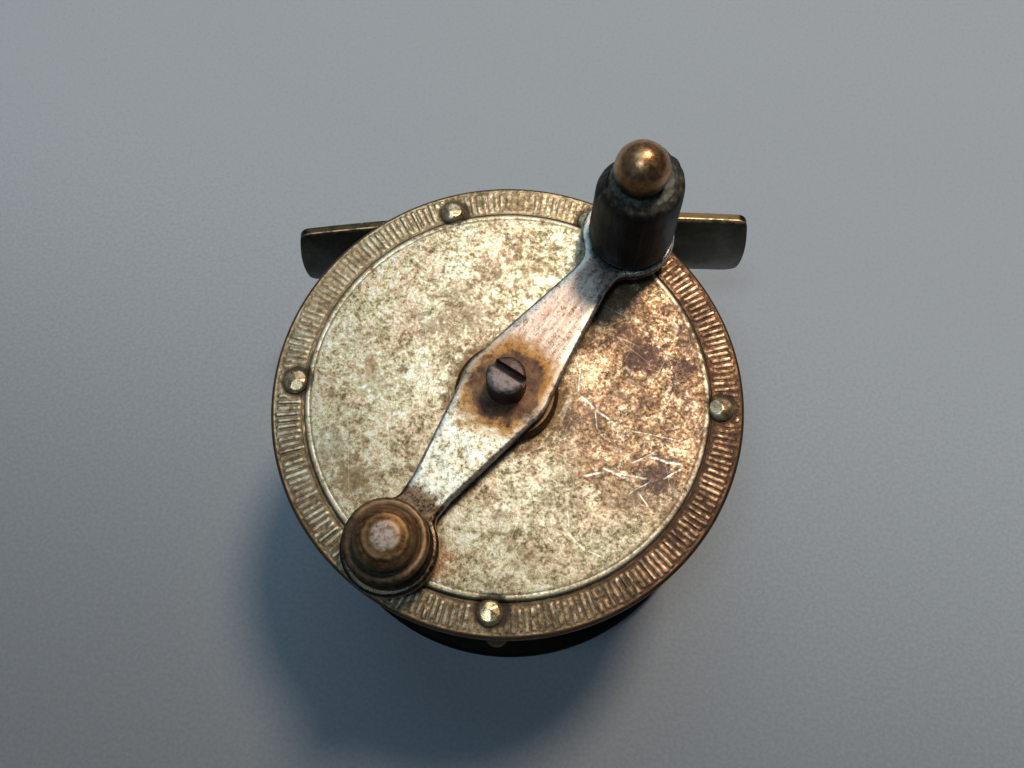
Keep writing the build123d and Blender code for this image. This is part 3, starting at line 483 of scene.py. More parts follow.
cream = n.mix(n.span(jit, 0.40, 0.50, 0.45, 0.0), cream, n.mix(0.5, cream, (0.47, 0.33, 0.27)))
# copper tone where the plating is worn, and painted warm light, both stronger toward the right
copper = n.ramp(mott, [(0.415, (0.046, 0.022, 0.017)), (0.445, (0.090, 0.044, 0.026)), (0.472, (0.145, 0.078, 0.042)),
                       (0.505, (0.215, 0.125, 0.068)), (0.545, (0.285, 0.185, 0.11)), (0.59, (0.48, 0.38, 0.28))])
right = n.span(n.m("ADD", n.m("ADD", X, n.m("MULTIPLY", n.m("SUBTRACT", big, 0.5), 22.0)), n.m("MULTIPLY", n.m("SUBTRACT", fine1, 0.5), 14.0)), 4.5, 12.0)
lowy = n.span(n.m("ADD", Y, n.m("MULTIPLY", n.m("SUBTRACT", med, 0.5), 26.0)), -21.0, -8.0, 0.15, 1.0)
copper_and_warm_light = n.m("MULTIPLY", right, lowy)
cloud = n.m("ADD", n.m("MULTIPLY", n.noise(3.4, 6, 0.66, 0.3, vec=n.place((5.0, 43.0, 0.0))), 0.6), n.m("MULTIPLY", fine1, 0.4))
copper = n.mix(n.span(cloud, 0.50, 0.575, 0.0, 0.72), copper, n.ramp(mott, [(0.42, (0.062, 0.034, 0.028)), (0.52, (0.135, 0.078, 0.062)), (0.6, (0.32, 0.22, 0.17))]))
copper = n.mix(n.m("MULTIPLY", n.span(cloud, 0.42, 0.475, 1.0, 0.0), n.span(fine1b, 0.46, 0.54)), copper, (0.60, 0.50, 0.38))
col = n.mix(n.m("MULTIPLY", copper_and_warm_light, 0.92), cream, copper)
# lower left is duller and browner
ll = n.span(n.m("ADD", n.m("ADD", n.m("MULTIPLY", X, 0.5), n.m("MULTIPLY", Y, 0.87)), n.m("MULTIPLY", n.m("SUBTRACT", med, 0.5), 24.0)), -22.0, -6.0, 0.55, 0.0)
col = n.mix(ll, col, n.ramp(mott, [(0.42, (0.09, 0.058, 0.03)), (0.5, (0.27, 0.215, 0.125)), (0.6, (0.50, 0.45, 0.32))]))
# stains, each where it lies on the plate
for bx, by, br, amount, tone in (
        (-6.5, 10.5, 6.5, 0.50, (0.27, 0.205, 0.125)), (1.0, 17.0, 4.5, 0.40, (0.26, 0.185, 0.11)),
        (17.6, 6.1, 2.9, 1.0, (0.072, 0.040, 0.037)), (22.0, 4.7, 2.2, 1.0, (0.062, 0.034, 0.030)), (19.1, -9.5, 2.6, 0.95, (0.070, 0.044, 0.042)),
        (14.6, 8.8, 1.9, 0.8, (0.13, 0.075, 0.055)), (9.9, -2.2, 1.6, 0.6, (0.16, 0.10, 0.07)), (10.2, -7.5, 1.8, 0.5, (0.18, 0.12, 0.075)),
        (16.5, -12.5, 2.2, 0.6, (0.15, 0.095, 0.07)), (21.0, -13.0, 2.0, 0.5, (0.17, 0.11, 0.07)),
        (-13.5, 2.5, 0.75, 0.85, (0.12, 0.082, 0.045)), (-17.8, 3.4, 0.9, 0.7, (0.24, 0.11, 0.05)), (-10.6, 8.8, 2.2, 0.5, (0.25, 0.19, 0.15)),
        (-17.0, 0.6, 2.8, 0.5, (0.24, 0.19, 0.10)), (-17.9, -12.3, 3.4, 0.7, (0.17, 0.11, 0.055)), (-20.9, -8.4, 2.6, 0.5, (0.26, 0.25, 0.19)),
        (-5.5, 11.0, 2.4, 0.45, (0.24, 0.165, 0.115)), (-20.0, 6.5, 2.2, 0.4, (0.26, 0.20, 0.11)), (-3.5, 17.5, 3.0, 0.4, (0.27, 0.19, 0.115)),
        (0.5, -15.5, 1.5, 0.55, (0.17, 0.12, 0.07)), (5.5, -13.0, 1.4, 0.5, (0.17, 0.12, 0.07)), (3.5, -20.5, 2.3, 0.45, (0.22, 0.16, 0.09)),
        (11.5, 15.0, 2.4, 0.5, (0.20, 0.115, 0.06))):
    col = n.mix(n.m("MULTIPLY", n.blob(bx, by, br, fine1, amount), n.span(fine2, 0.36, 0.56, 0.55, 1.0)), col, tone)
spots = n.m("MULTIPLY", n.span(n.noise(1.5, 7, 0.72), 0.615, 0.67), n.span(n.noise(8.0, 3, 0.5), 0.42, 0.58, 0.25, 1.0))
col = n.mix(n.m("MULTIPLY", spots, 0.75), col, (0.10, 0.060, 0.030))
_, rad = n.polar()
inband = n.span(rad, 25.70, 25.88)
# the band is browner, its ridges are rubbed bright; the tips turn warmer and lighter toward the right, a painted warm
# light
raised = n.attr("ridge")
floorcol = n.ramp(mott, [(0.41, (0.050, 0.033, 0.018)), (0.48, (0.120, 0.082, 0.046)), (0.55, (0.21, 0.155, 0.090)), (0.62, (0.34, 0.27, 0.17))])
tipcool = n.ramp(mott, [(0.42, (0.24, 0.19, 0.115)), (0.5, (0.44, 0.39, 0.28)), (0.6, (0.68, 0.64, 0.51))])
tipwarm = n.ramp(mott, [(0.42, (0.27, 0.145, 0.08)), (0.5, (0.55, 0.345, 0.215)), (0.6, (0.82, 0.62, 0.44))])
tips = n.mix(n.span(X, -2.0, 20.0), tipcool, tipwarm)
floorlight = n.ramp(mott, [(0.41, (0.13, 0.092, 0.050)), (0.48, (0.27, 0.205, 0.125)), (0.55, (0.40, 0.33, 0.22)), (0.62, (0.54, 0.47, 0.34))])
upper = n.span(n.m("ADD", n.m("SUBTRACT", n.m("MULTIPLY", Y, 0.82), n.m("MULTIPLY", X, 0.57)), n.m("MULTIPLY", n.m("SUBTRACT", med, 0.5), 20.0)), 2.0, 20.0)
floorcol = n.mix(n.m("MULTIPLY", upper, 0.85), floorcol, floorlight)
warmfloor = n.ramp(mott, [(0.41, (0.026, 0.013, 0.009)), (0.48, (0.060, 0.030, 0.018)), (0.55, (0.115, 0.062, 0.036)), (0.62, (0.22, 0.135, 0.08))])
floorcol = n.mix(n.span(n.m("ADD", X, n.m("MULTIPLY", n.m("SUBTRACT", med, 0.5), 16.0)), 8.0, 20.0, 0.0, 0.95), floorcol, warmfloor)
fade = n.m("MULTIPLY", n.span(n.m("ADD", n.m("MULTIPLY", fine1, 0.5), n.m("MULTIPLY", med, 0.5)), 0.43, 0.53, 0.30, 1.0), n.span(n.m("ADD", Y, n.m("MULTIPLY", X, -0.5)), -27.0, -16.0, 0.60, 1.0))
bandcol = n.mix(n.m("MULTIPLY", n.span(raised, 0.10, 0.45), fade), floorcol, tips)
col = n.mix(inband, col, bandcol)
# the disc's rolled shoulder is painted pale, a painted highlight that is stronger toward the back; dirt lies in the
# line beside it
col = n.mix(n.m("MULTIPLY", n.attr("edge"), n.m("MULTIPLY", n.span(n.m("ADD", n.m("MULTIPLY", fine1, 0.5), n.m("MULTIPLY", med, 0.5)), 0.455, 0.535, 0.05, 0.75), n.m("MULTIPLY", n.m("SUBTRACT", 1.0, inband), n.span(Y, -22.0, -10.0, 0.25, 1.0)))), col, (0.66, 0.60, 0.47))
inner = n.m("MULTIPLY", n.span(rad, 24.82, 24.9), n.span(rad, 24.95, 25.03, 1.0, 0.0))
col = n.mix(n.m("MULTIPLY", inner, n.span(n.noise(3.5, 4, 0.6), 0.42, 0.56, 0.10, 0.70)), col, (0.13, 0.085, 0.045))
groove = n.m("MULTIPLY", n.span(rad, 25.64, 25.72), n.span(rad, 25.90, 26.02, 1.0, 0.0))
col = n.mix(n.m("MULTIPLY", groove, n.span(n.noise(2.6, 4, 0.6), 0.35, 0.55, 0.45, 0.9)), col, (0.06, 0.038, 0.022))
rimdirt = n.m("MULTIPLY", n.span(rad, 29.45, 29.7), n.span(fine1, 0.40, 0.55, 1.0, 0.45))
col = n.mix(rimdirt, col, (0.10, 0.062, 0.036))
for rx, ry in RIVET_XY:
    ring = n.span(n.m("ADD", n.dist((rx + 0.15, ry + 0.15)), n.m("MULTIPLY", n.m("SUBTRACT", fine1, 0.5), 1.2)), 1.85, 2.55, 0.88, 0.0)
    col = n.mix(ring, col, (0.024, 0.016, 0.011))
# tarnish under the boss
near_boss = n.span(n.m("ADD", n.dist((0, 0)), n.m("MULTIPLY", n.m("SUBTRACT", fine1, 0.5), 6.0)), 6.6, 9.4, 1.0, 0.0)
col = n.mix(n.m("MULTIPLY", near_boss, 0.85), col, (0.13, 0.070, 0.030))
# rust stain beside the counterweight's place at rest
stain = n.span(n.m("ADD", n.dist((-7.2, -21.5)), n.m("MULTIPLY", n.m("SUBTRACT", fine1, 0.5), 9.0)), 0.6, 3.6, 1.0, 0.0)
col = n.mix(n.m("MULTIPLY", stain, n.span(mott, 0.42, 0.55, 0.9, 0.5)), col, (0.27, 0.105, 0.030))
# scratches
scr = None
for x0, y0, x1, y1, w in (
        (9.3, 0.4, 11.3, -1.2, 0.11), (11.3, -1.2, 13.9, -3.0, 0.12), (11.3, -1.2, 11.6, -3.9, 0.06), (9.0, 4.6, 9.1, 0.8, 0.06),
        (12.4, -8.5, 15.6, -10.0, 0.10), (10.0, -9.9, 12.8, -9.1, 0.10), (13.4, -9.2, 18.3, -9.7, 0.09), (15.8, -8.0, 19.1, -6.0, 0.06),
        (17.8, -6.8, 22.5, -7.7, 0.12), (19.8, -9.7, 22.5, -7.9, 0.08), (15.6, -11.9, 18.5, -9.8, 0.06), (16.8, -11.4, 18.3, -13.2, 0.07),
        (8.5, -16.9, 10.8, -18.9, 0.11), (10.8, -18.9, 13.2, -19.8, 0.08), (8.3, -13.6, 8.8, -16.9, 0.06), (15.3, -3.6, 22.5, -4.7, 0.05)):
    line = n.stroke(x0, y0, x1, y1, w)
    scr = line if scr is None else n.m("MAXIMUM", scr, line)
hair = None
for ang, size, seed in ((28, 5.0, 1.0), (64, 6.0, 2.0), (101, 7.0, 3.0), (150, 5.5, 4.0)):
    v = n.place((seed * 7.3, seed * 3.1, 0), (0, 0, ang), (14.0, 0.7, 1.0))
    line = n.span(n.m("ABSOLUTE", n.m("SUBTRACT", n.noise(size, 1, 0.5, 0.0, vec=v), 0.5)), 0.0, 0.006, 1.0, 0.0)
    line = n.m("MULTIPLY", line, n.span(n.noise(6.0 + seed, 2, 0.5, 0, vec=n.place((seed * 20, 0, 0))), 0.50, 0.60))
    hair = line if hair is None else n.m("MAXIMUM", hair, line)
scr = n.m("MAXIMUM", n.m("MULTIPLY", scr, n.span(fine1b, 0.38, 0.50, 0.35, 1.0)), n.m("MULTIPLY", hair, 0.30))
scr = n.m("MULTIPLY", scr, n.m("SUBTRACT", 1.0, inband))
col = n.mix(n.m("MULTIPLY", scr, 0.85), col, (0.78, 0.73, 0.62))
worn = n.span(mott, 0.42, 0.56)
h = n.m("SUBTRACT", n.m("ADD", n.m("MULTIPLY", fine2, 0.5), n.m("MULTIPLY", worn, 0.35)), n.m("MULTIPLY", scr, 0.6))
nr = n.bump(h, 0.40, 0.08)
nr = n.bump(big, 0.10, 0.6, nr)
rough = n.m("ADD", n.span(mott, 0.42, 0.58, 0.56, 0.34), n.m("MULTIPLY", inband, 0.02))
metal = n.span(mott, 0.42, 0.52, 0.55, 0.92)
WORN = n.done(col, rough, metal, nr)
paint(head, WORN)

# ------------------------------------------------------------------ tail plate
prof = ([(3.2, TAIL_LO.z / MM + 2.2), (10, 2.2), (20, 2.2), (27.5, 2.2), (28.5, 2.2), (28.75, 2.1), (28.85, 1.2), (28.95, 0.4),
         (29.05, 0.12), (29.25, 0.0), (29.7, 0.0), (29.85, 0.08), (29.96, 0.22), (30.0, 0.45), (30.0, 1.7), (30.0, 3.1),
         (29.93, 3.35), (29.6, 3.6), (20, 3.6), (3.2, 3.6)])

# ------------------------------------------------------------------ rivets


RIV_R = 1.62


def rivet_parts(z, up, seed):
    parts = []
    for k, a in enumerate(RIVET_ANGLES):
        at = polar(PITCH_R, a)
        rnd = random.Random(seed + k)
        facets = [(rnd.uniform(0, 2 * math.pi), rnd.uniform(0.25, 0.6), rnd.uniform(0.80, 0.93)) for _ in range(6)]
        tip = rnd.uniform(0.88, 1.0)

        def shape(r, ang, zz, facets=facets, tip=tip, rnd=rnd):
            # hammered dome: the cap is cut by a few flats
            hgt = abs(zz - z)
            nx, ny, nz = r / RIV_R * math.cos(ang), r / RIV_R * math.sin(ang), hgt / 1.0
            for fa, lean, off in facets:
                fx, fy, fz = math.sin(lean) * math.cos(fa), math.sin(lean) * math.sin(fa), math.cos(lean)
                d = nx * fx + ny * fy + nz * fz
                if d > off:
                    nz -= (d - off) / fz
            return r, z + up * max(0.02, nz) * tip

        prof = [(0.0, z + up)] + [(RIV_R * math.sin(math.radians(t)), z + up * math.cos(math.radians(t))) for t in range(6, 86, 5)]
        prof += [(RIV_R, z + up * 0.08), (RIV_R, z - up * 0.02)]
        v, f = lathe_data([(r, zz) for r, zz in prof], 40, at, shape)
        # shape() leaves the lowest ring on the plate
        v = [(x, y, z if i >= len(v) - 40 else zz) for i, (x, y, zz) in enumerate(v)]
        v.append((at[0], at[1], z))
        last = len(v) - 1
        f += [(last, last - 40 + (i + 1) % 40, last - 40 + i) for i in range(40)]
        # tip vertex follows the hammered cap
        v[0] = (at[0], at[1], sum(v[1 + i][2] for i in range(40)) / 40)
        parts.append((v, f))
    return parts


v, f = join_data(rivet_parts(H, 1.0, 40))
rivets = make("head_rivets_peened", v, f, "frame", "rivet_bronze", ["head_rivets"], sharp=60)

# ------------------------------------------------------------------ knob
KZ = KNOB_LO.z / MM


def knob_shape(r, a, z):
    deg = math.degrees(a) % 360
    rr = r
    # slow unevenness and faint fibres, more at the worn rim
    if r > 3.0:
        rr += 0.035 * fbm(math.cos(a) * 1.6, math.sin(a) * 1.6, z * 0.25, 2, 3.0)
        rr -= 0.04 * max(0.0, fbm(math.cos(a) * 9, math.sin(a) * 9, z * 0.10, 2, 9.0))
    top_near = smoothstep(z, H + 16.4, H + 17.9)
    if r > 3.8:
        # wavy bitten rim
        wave = fbm(math.cos(a) * 2.4, math.sin(a) * 2.4, 0.5, 3, 14.0)
        z -= top_near * max(0.0, 0.10 + 0.75 * wave) * smoothstep(r, 3.9, 4.6)
        rr -= top_near * max(0.0, wave) * 0.35
        # the back left part of the rim is broken away
        bite = smoothstep(deg, 96, 122) * (1 - smoothstep(deg, 192, 205))
        bite *= 0.85 + 0.3 * fbm(math.cos(a) * 3.1, math.sin(a) * 3.1, 2.0, 2, 41.0)
        low = smoothstep(z, H + 15.2, H + 17.6)
        z -= bite * low * 1.35 * smoothstep(r, 3.4, 4.6)
        rr -= bite * smoothstep(z + bite * 1.35, H + 15.4, H + 17.4) * 0.85 * smoothstep(r, 3.8, 4.8)
    return rr, z


b = 1.45
prof = dense([(b, KZ), (5.0, KZ)], 0.6)[:-1] + dense([(5.0, KZ), (5.2, KZ + 0.15), (5.33, KZ + 0.45), (5.42, KZ + 1.0), (5.42, H + 5.6),
        (5.40, H + 7.5), (5.34, H + 10), (5.28, H + 13.0), (5.18, H + 16.2)], 0.5)
prof += dense([(5.15, H + 16.6), (5.10, H + 17.1), (5.02, H + 17.5), (4.9, H + 17.78), (4.74, H + 17.93), (4.5, H + 18.0),
               (4.3, H + 18.0), (4.12, H + 17.96), (4.0, H + 17.88), (3.9, H + 17.77), (3.7, H + 17.75), (2.8, H + 17.75), (b, H + 17.75)], 0.18)
prof += dense([(b, H + 17.75), (b, KZ)], 3.0)[1:-1]
v, f = lathe_data(prof, 144, (PX, PY), knob_shape, closed=True)
knob = make("handle_knob_turned", v, f, "knob", "horn", ["handle_knob"], sharp=65)

n = Nodes("old_horn")
o = n.xyz()
ang, rad = n.polar((PX, PY))
streak_v = n.combine(n.m("MULTIPLY", n.m("SUBTRACT", o[0], PX * MM), 1.0), n.m("MULTIPLY", n.m("SUBTRACT", o[1], PY * MM), 1.0), n.m("MULTIPLY", o[2], 0.06))
streak = n.noise(0.7, 5, 0.65, vec=streak_v)
soft = n.noise(3.5, 4, 0.6)
col = n.ramp(streak, [(0.34, (0.003, 0.003, 0.003)), (0.52, (0.007, 0.0075, 0.007)), (0.66, (0.026, 0.028, 0.026))])
col = n.mix(n.span(soft, 0.5, 0.7, 0.0, 0.4), col, (0.030, 0.027, 0.032))
zz = n.m("MULTIPLY", o[2], 1000.0)
toprim = n.m("MULTIPLY", n.span(zz, H + 16.7, H + 17.7), n.span(rad, 3.6, 4.1))
rimcol = n.ramp(n.noise(0.8, 5, 0.7), [(0.38, (0.018, 0.014, 0.011)), (0.55, (0.060, 0.050, 0.040)), (0.68, (0.16, 0.145, 0.12))])
col = n.mix(n.m("MULTIPLY", toprim, 0.75), col, rimcol)
face = n.m("MULTIPLY", n.span(zz, H + 17.3, H + 17.6), n.span(rad, 3.9, 4.15, 1.0, 0.0))
col = n.mix(n.m("MULTIPLY", face, 0.85), col, n.ramp(n.noise(0.6, 4, 0.65), [(0.38, (0.035, 0.034, 0.028)), (0.62, (0.17, 0.165, 0.14))]))
low = n.m("MULTIPLY", n.span(zz, H + 4.4, H + 5.6, 1.0, 0.0), 0.6)
col = n.mix(low, col, (0.075, 0.082, 0.076))
hgt = n.m("ADD", n.m("MULTIPLY", streak, 0.7), n.m("MULTIPLY", n.noise(0.4, 4, 0.7), 0.3))
HORN = n.done(col, n.m("ADD", n.span(soft, 0.4, 0.65, 0.44, 0.58), n.m("MULTIPLY", toprim, 0.25)), 0.0, n.bump(hgt, 0.5, 0.12), Specular_IOR_Level=0.24)
paint(knob, HORN)

# ------------------------------------------------------------------ knob pin
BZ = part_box("knob_pin")[1].z / MM - 3.27
low_z = H + 18.0 - 0.17
r0 = math.sqrt(3.27 ** 2 - (BZ - low_z) ** 2)
start = math.degrees(math.asin((low_z - BZ) / 3.27))
ball = [(0.0, low_z), (r0 - 0.15, low_z)] + arc(0, BZ, 3.27, start + 3, 84, 30) + [(0.0, BZ + 3.27)]


def ball_shape(r, a, z):
    x, y = r * math.cos(a), r * math.sin(a)
    d = 0.030 * fbm(x * 0.7, y * 0.7, z * 0.7, 2, 21.0)
    return (max(0.0, r + d * (r / 3.27)), z + d * ((z - BZ) / 3.27) - 0.015 * max(0.0, (z - BZ) / 3.27))


v, f = lathe_data(ball, 72, (PX - BALL_OFF, PY), ball_shape)
shank = [(0.0, ARM_Z - 0.8), (1.9, ARM_Z - 0.8), (2.15, ARM_Z - 0.72), (2.35, ARM_Z - 0.45), (2.4, ARM_Z), (1.4, ARM_Z), (1.4, low_z), (0.0, low_z)]
v2, f2 = lathe_data(shank, 48, (PX, PY))
pin = make("knob_pin_turned", *join_data([(v, f), (v2, f2)]), "spool", "pin_bronze", ["knob_pin"], sharp=60)
n = Nodes("rubbed_bronze")
o = n.xyz()
fine = n.noise(0.7, 5, 0.68)
big = n.noise(3.0, 4, 0.6, 0.4)
zz = n.m("MULTIPLY", o[2], 1000.0)
col = n.ramp(n.m("ADD", n.m("MULTIPLY", big, 0.5), n.m("MULTIPLY", fine, 0.5)), [
    (0.36, (0.26, 0.115, 0.050)), (0.5, (0.50, 0.265, 0.125)), (0.64, (0.70, 0.44, 0.25))])
# the ball's lower half is painted dark: painted shade
ball_underside_painted_shade = n.span(n.m("ADD", zz, n.m("MULTIPLY", big, 2.5)), BZ + 0.6, BZ + 2.8, 1.0, 0.0)
col = n.mix(n.m("MULTIPLY", ball_underside_painted_shade, 0.82), col, n.ramp(fine, [(0.4, (0.026, 0.021, 0.009)), (0.6, (0.085, 0.070, 0.030))]))
RUBBED = n.done(col, n.m("ADD", n.span(fine, 0.35, 0.65, 0.24, 0.34), n.m("MULTIPLY", ball_underside_painted_shade, 0.15)), 0.9, n.bump(n.noise(0.35, 4, 0.7), 0.22, 0.1))
paint(pin, RUBBED)

# ------------------------------------------------------------------ counterweight
low = [(0.0, ARM_Z - 0.7), (1.7, ARM_Z - 0.7), (2.1, ARM_Z - 0.55), (2.3, ARM_Z - 0.25), (2.3, ARM_Z), (1.4, ARM_Z), (1.4, ARM_TOP)]
low += dense([(1.4, ARM_TOP), (4.85, ARM_TOP), (5.05, ARM_TOP + 0.1), (5.15, H + 4.15), (5.15, H + 4.75), (5.05, H + 5.05), (4.75, H + 5.35),
              (4.62, H + 5.7), (4.56, H + 6.1), (4.60, H + 6.5), (4.7, H + 6.85)], 0.4)[1:]
low += [(4.9, H + 7.05), (4.98, H + 7.3), (5.0, H + 7.55), (4.96, H + 7.8), (4.86, H + 7.98), (4.7, H + 8.1), (4.5, H + 8.16), (4.3, H + 8.16),
        (4.1, H + 8.1), (3.95, H + 8.03), (3.8, H + 8.05), (3.2, H + 8.15), (0.0, H + 8.2)]


def weight_low(r, a, z):
    if r < 3:
        return r, z
    return (r + 0.03 * fbm(math.cos(a) * 1.4, math.sin(a) * 1.4, z * 0.3, 2, 31.0),
            z + (0.035 * fbm(math.cos(a) * 1.7, math.sin(a) * 1.7, 0, 2, 33.0) if z > H + 6.9 else 0.0))


v, f = lathe_data(low, 120, (QX, QY), weight_low)
LEAN = math.radians(6.5)
cap = [(0.0, -0.5), (3.3, -0.5), (3.55, 0.2), (3.72, 0.8)] + [(3.75, 1.0), (3.76, 1.35), (3.73, 1.7), (3.64, 2.05), (3.5, 2.38), (3.3, 2.7),
       (3.08, 2.94), (2.95, 3.04), (2.86, 3.08), (2.80, 3.14), (2.78, 3.26), (2.74, 3.40), (2.64, 3.50), (2.48, 3.56), (2.32, 3.60), (2.15, 3.66), (1.95, 3.75),
       (1.75, 3.84), (1.55, 3.89), (0.9, 3.9), (0.0, 3.9)]
cv, cf = lathe_data(cap, 96)
tilt = Matrix.Rotation(LEAN, 4, "Y")
cv = [tuple(tilt @ Vector((x + 0.02 * fbm(x, y, z, 2, 8.0), y + 0.02 * fbm(y, z, x, 2, 9.0), z)) + Vector((QX, QY, H + 7.4))) for x, y, z in cv]
weight = make("counterweight_turned", *join_data([(v, f), (cv, cf)]), "spool", "weight_bronze", ["counterweight"], sharp=55)
n = Nodes("brown_bronze")
o = n.xyz()
fine = n.noise(0.7, 5, 0.68)
big = n.noise(4.0, 4, 0.6, 0.4)
zz = n.m("MULTIPLY", o[2], 1000.0)
col = n.ramp(n.m("ADD", n.m("MULTIPLY", big, 0.5), n.m("MULTIPLY", fine, 0.5)), [
    (0.38, (0.095, 0.045, 0.020)), (0.5, (0.215, 0.115, 0.053)), (0.62, (0.36, 0.215, 0.11))])
flat = n.m("MULTIPLY", n.span(n.m("ADD", n.dist((QX + 0.45, QY)), n.m("MULTIPLY", fine, 0.9)), 1.85, 2.25, 1.0, 0.0), n.span(zz, H + 10.8, H + 11.2))
col = n.mix(n.m("MULTIPLY", flat, 0.85), col, n.ramp(fine, [(0.38, (0.10, 0.065, 0.05)), (0.48, (0.175, 0.155, 0.145)), (0.58, (0.28, 0.27, 0.27))]))
ringz = n.m("MULTIPLY", n.span(zz, H + 7.3, H + 7.9), n.span(n.dist((QX, QY)), 3.95, 4.25))
col = n.mix(n.m("MULTIPLY", ringz, n.span(fine, 0.42, 0.6, 0.10, 0.55)), col, (0.26, 0.185, 0.115))
# below the ring the body is painted near-black: painted shade under the ring
weight_low_painted_shade = n.m("MULTIPLY", n.span(zz, H + 6.4, H + 7.5, 1.0, 0.0), 0.9)
col = n.mix(weight_low_painted_shade, col, n.ramp(fine, [(0.4, (0.014, 0.011, 0.007)), (0.62, (0.060, 0.045, 0.027))]))
joint = n.m("MULTIPLY", n.span(n.dist((QX, QY)), 3.6, 3.8), n.span(n.dist((QX, QY)), 3.98, 4.15, 1.0, 0.0))
col = n.mix(n.m("MULTIPLY", joint, 0.45), col, (0.04, 0.024, 0.013))
# the lower-left side is painted dark: painted shade on the side away from the lamp
weight_sw_painted_shade = n.m("MULTIPLY", n.span(n.m("ADD", n.m("MULTIPLY", o[0], 700.0), n.m("MULTIPLY", o[1], 700.0)), -25.0, -22.0, 1.0, 0.0), n.span(n.dist((QX, QY)), 3.2, 3.8))
col = n.mix(n.m("MULTIPLY", weight_sw_painted_shade, 0.85), col, n.ramp(fine, [(0.4, (0.022, 0.019, 0.013)), (0.62, (0.085, 0.076, 0.054))]))
BROWN = n.done(col, n.m("ADD", n.span(fine, 0.35, 0.65, 0.40, 0.56), n.m("MULTIPLY", n.m("MAXIMUM", weight_low_painted_shade, weight_sw_painted_shade), 0.22)), 0.86, n.bump(n.noise(0.35, 4, 0.7), 0.25, 0.1))
paint(weight, BROWN)

# ------------------------------------------------------------------ crank screw
st = ARM_TOP
head_top = SCREW_HI.z / MM


def screw_mesh():
    bm = bmesh.new()
    prof = [(0.0, st), (2.45, st), (2.45, head_top - 0.65), (2.42, head_top - 0.4), (2.3, head_top - 0.22), (2.1, head_top - 0.1),
            (1.75, head_top - 0.02), (0.9, head_top), (0.0, head_top)]
    v, f = lathe_data(dense(prof, 0.3), 64)
    vs = [bm.verts.new(p) for p in v]
    for q in f:
        bm.faces.new([vs[i] for i in q])
    me = bpy.data.meshes.new("screw_tmp")
    bm.to_mesh(me)
    bm.free()
    ob = bpy.data.objects.new("screw_tmp", me)
    bpy.context.scene.collection.objects.link(ob)
    a = math.radians(-30)
    cx, cy = -0.55 * math.sin(a), 0.55 * math.cos(a)
    c = bpy.data.meshes.new("slot_tmp")
    bm = bmesh.new()
    bmesh.ops.create_cube(bm, size=1.0)
    bmesh.ops.scale(bm, vec=(6.2, 1.1, 2.4), verts=bm.verts)
    bmesh.ops.rotate(bm, matrix=Matrix.Rotation(a, 3, "Z"), verts=bm.verts)
    bmesh.ops.translate(bm, vec=(cx, cy, head_top), verts=bm.verts)
    bm.to_mesh(c)
    bm.free()
    cut = bpy.data.objects.new("slot_tmp", c)
    bpy.context.scene.collection.objects.link(cut)
    mod = ob.modifiers.new("cut", "BOOLEAN")
    mod.object = cut
    mod.operation = "DIFFERENCE"
    mod.solver = "EXACT"
    bev = ob.modifiers.new("soften", "BEVEL")
    bev.width = 0.12
    bev.segments = 3
    bev.limit_method = "ANGLE"
    bev.angle_limit = math.radians(50)
    deps = bpy.context.evaluated_depsgraph_get()
    done = bpy.data.meshes.new_from_object(ob.evaluated_get(deps))
    vv = [tuple(x.co) for x in done.vertices]
    ff = [tuple(p.vertices) for p in done.polygons]
    for t in (ob, cut):
        bpy.data.objects.remove(t)
    return vv, ff


v, f = screw_mesh()
v = [(x + 0.02 * fbm(x, y, z, 2, 2.0), y + 0.02 * fbm(y, z, x, 2, 6.0), z) for x, y, z in v]
shank_v, shank_f = lathe_data([(0.0, st - 4.5), (1.1, st - 4.5), (1.1, st), (0.0, st)], 32)
screw = make("crank_screw_slotted", *join_data([(v, f), (shank_v, shank_f)]), "spool", "dark_steel", ["crank_screw"], sharp=40)
n = Nodes("rusted_steel")
fine = n.noise(0.6, 6, 0.7)
big = n.noise(2.2, 4, 0.6, 0.5)
o = n.xyz()
col = n.ramp(n.m("ADD", n.m("MULTIPLY", big, 0.5), n.m("MULTIPLY", fine, 0.5)), [
    (0.36, (0.030, 0.017, 0.013)), (0.5, (0.095, 0.058, 0.046)), (0.66, (0.21, 0.165, 0.16))])
half = n.m("ADD", n.m("MULTIPLY", o[0], 500.0), n.m("MULTIPLY", o[1], 866.0))
topz = n.span(n.m("MULTIPLY", o[2], 1000.0), head_top - 0.7, head_top - 0.2)
# the top of the head's lower-left half is painted lighter: a painted highlight
col = n.mix(n.m("MULTIPLY", n.m("MULTIPLY", n.span(half, -0.3, 0.4, 1.0, 0.0), topz), n.span(fine, 0.42, 0.56, 0.25, 0.75)), col, (0.30, 0.255, 0.27))
RUST = n.done(col, n.span(fine, 0.35, 0.65, 0.35, 0.6), 0.75, n.bump(fine, 0.5, 0.18))
paint(screw, RUST)

# ------------------------------------------------------------------ crank arm


def along(angle, s, t):
    a = math.radians(angle)
    return (s * math.cos(a) - t * math.sin(a), s * math.sin(a) + t * math.cos(a))


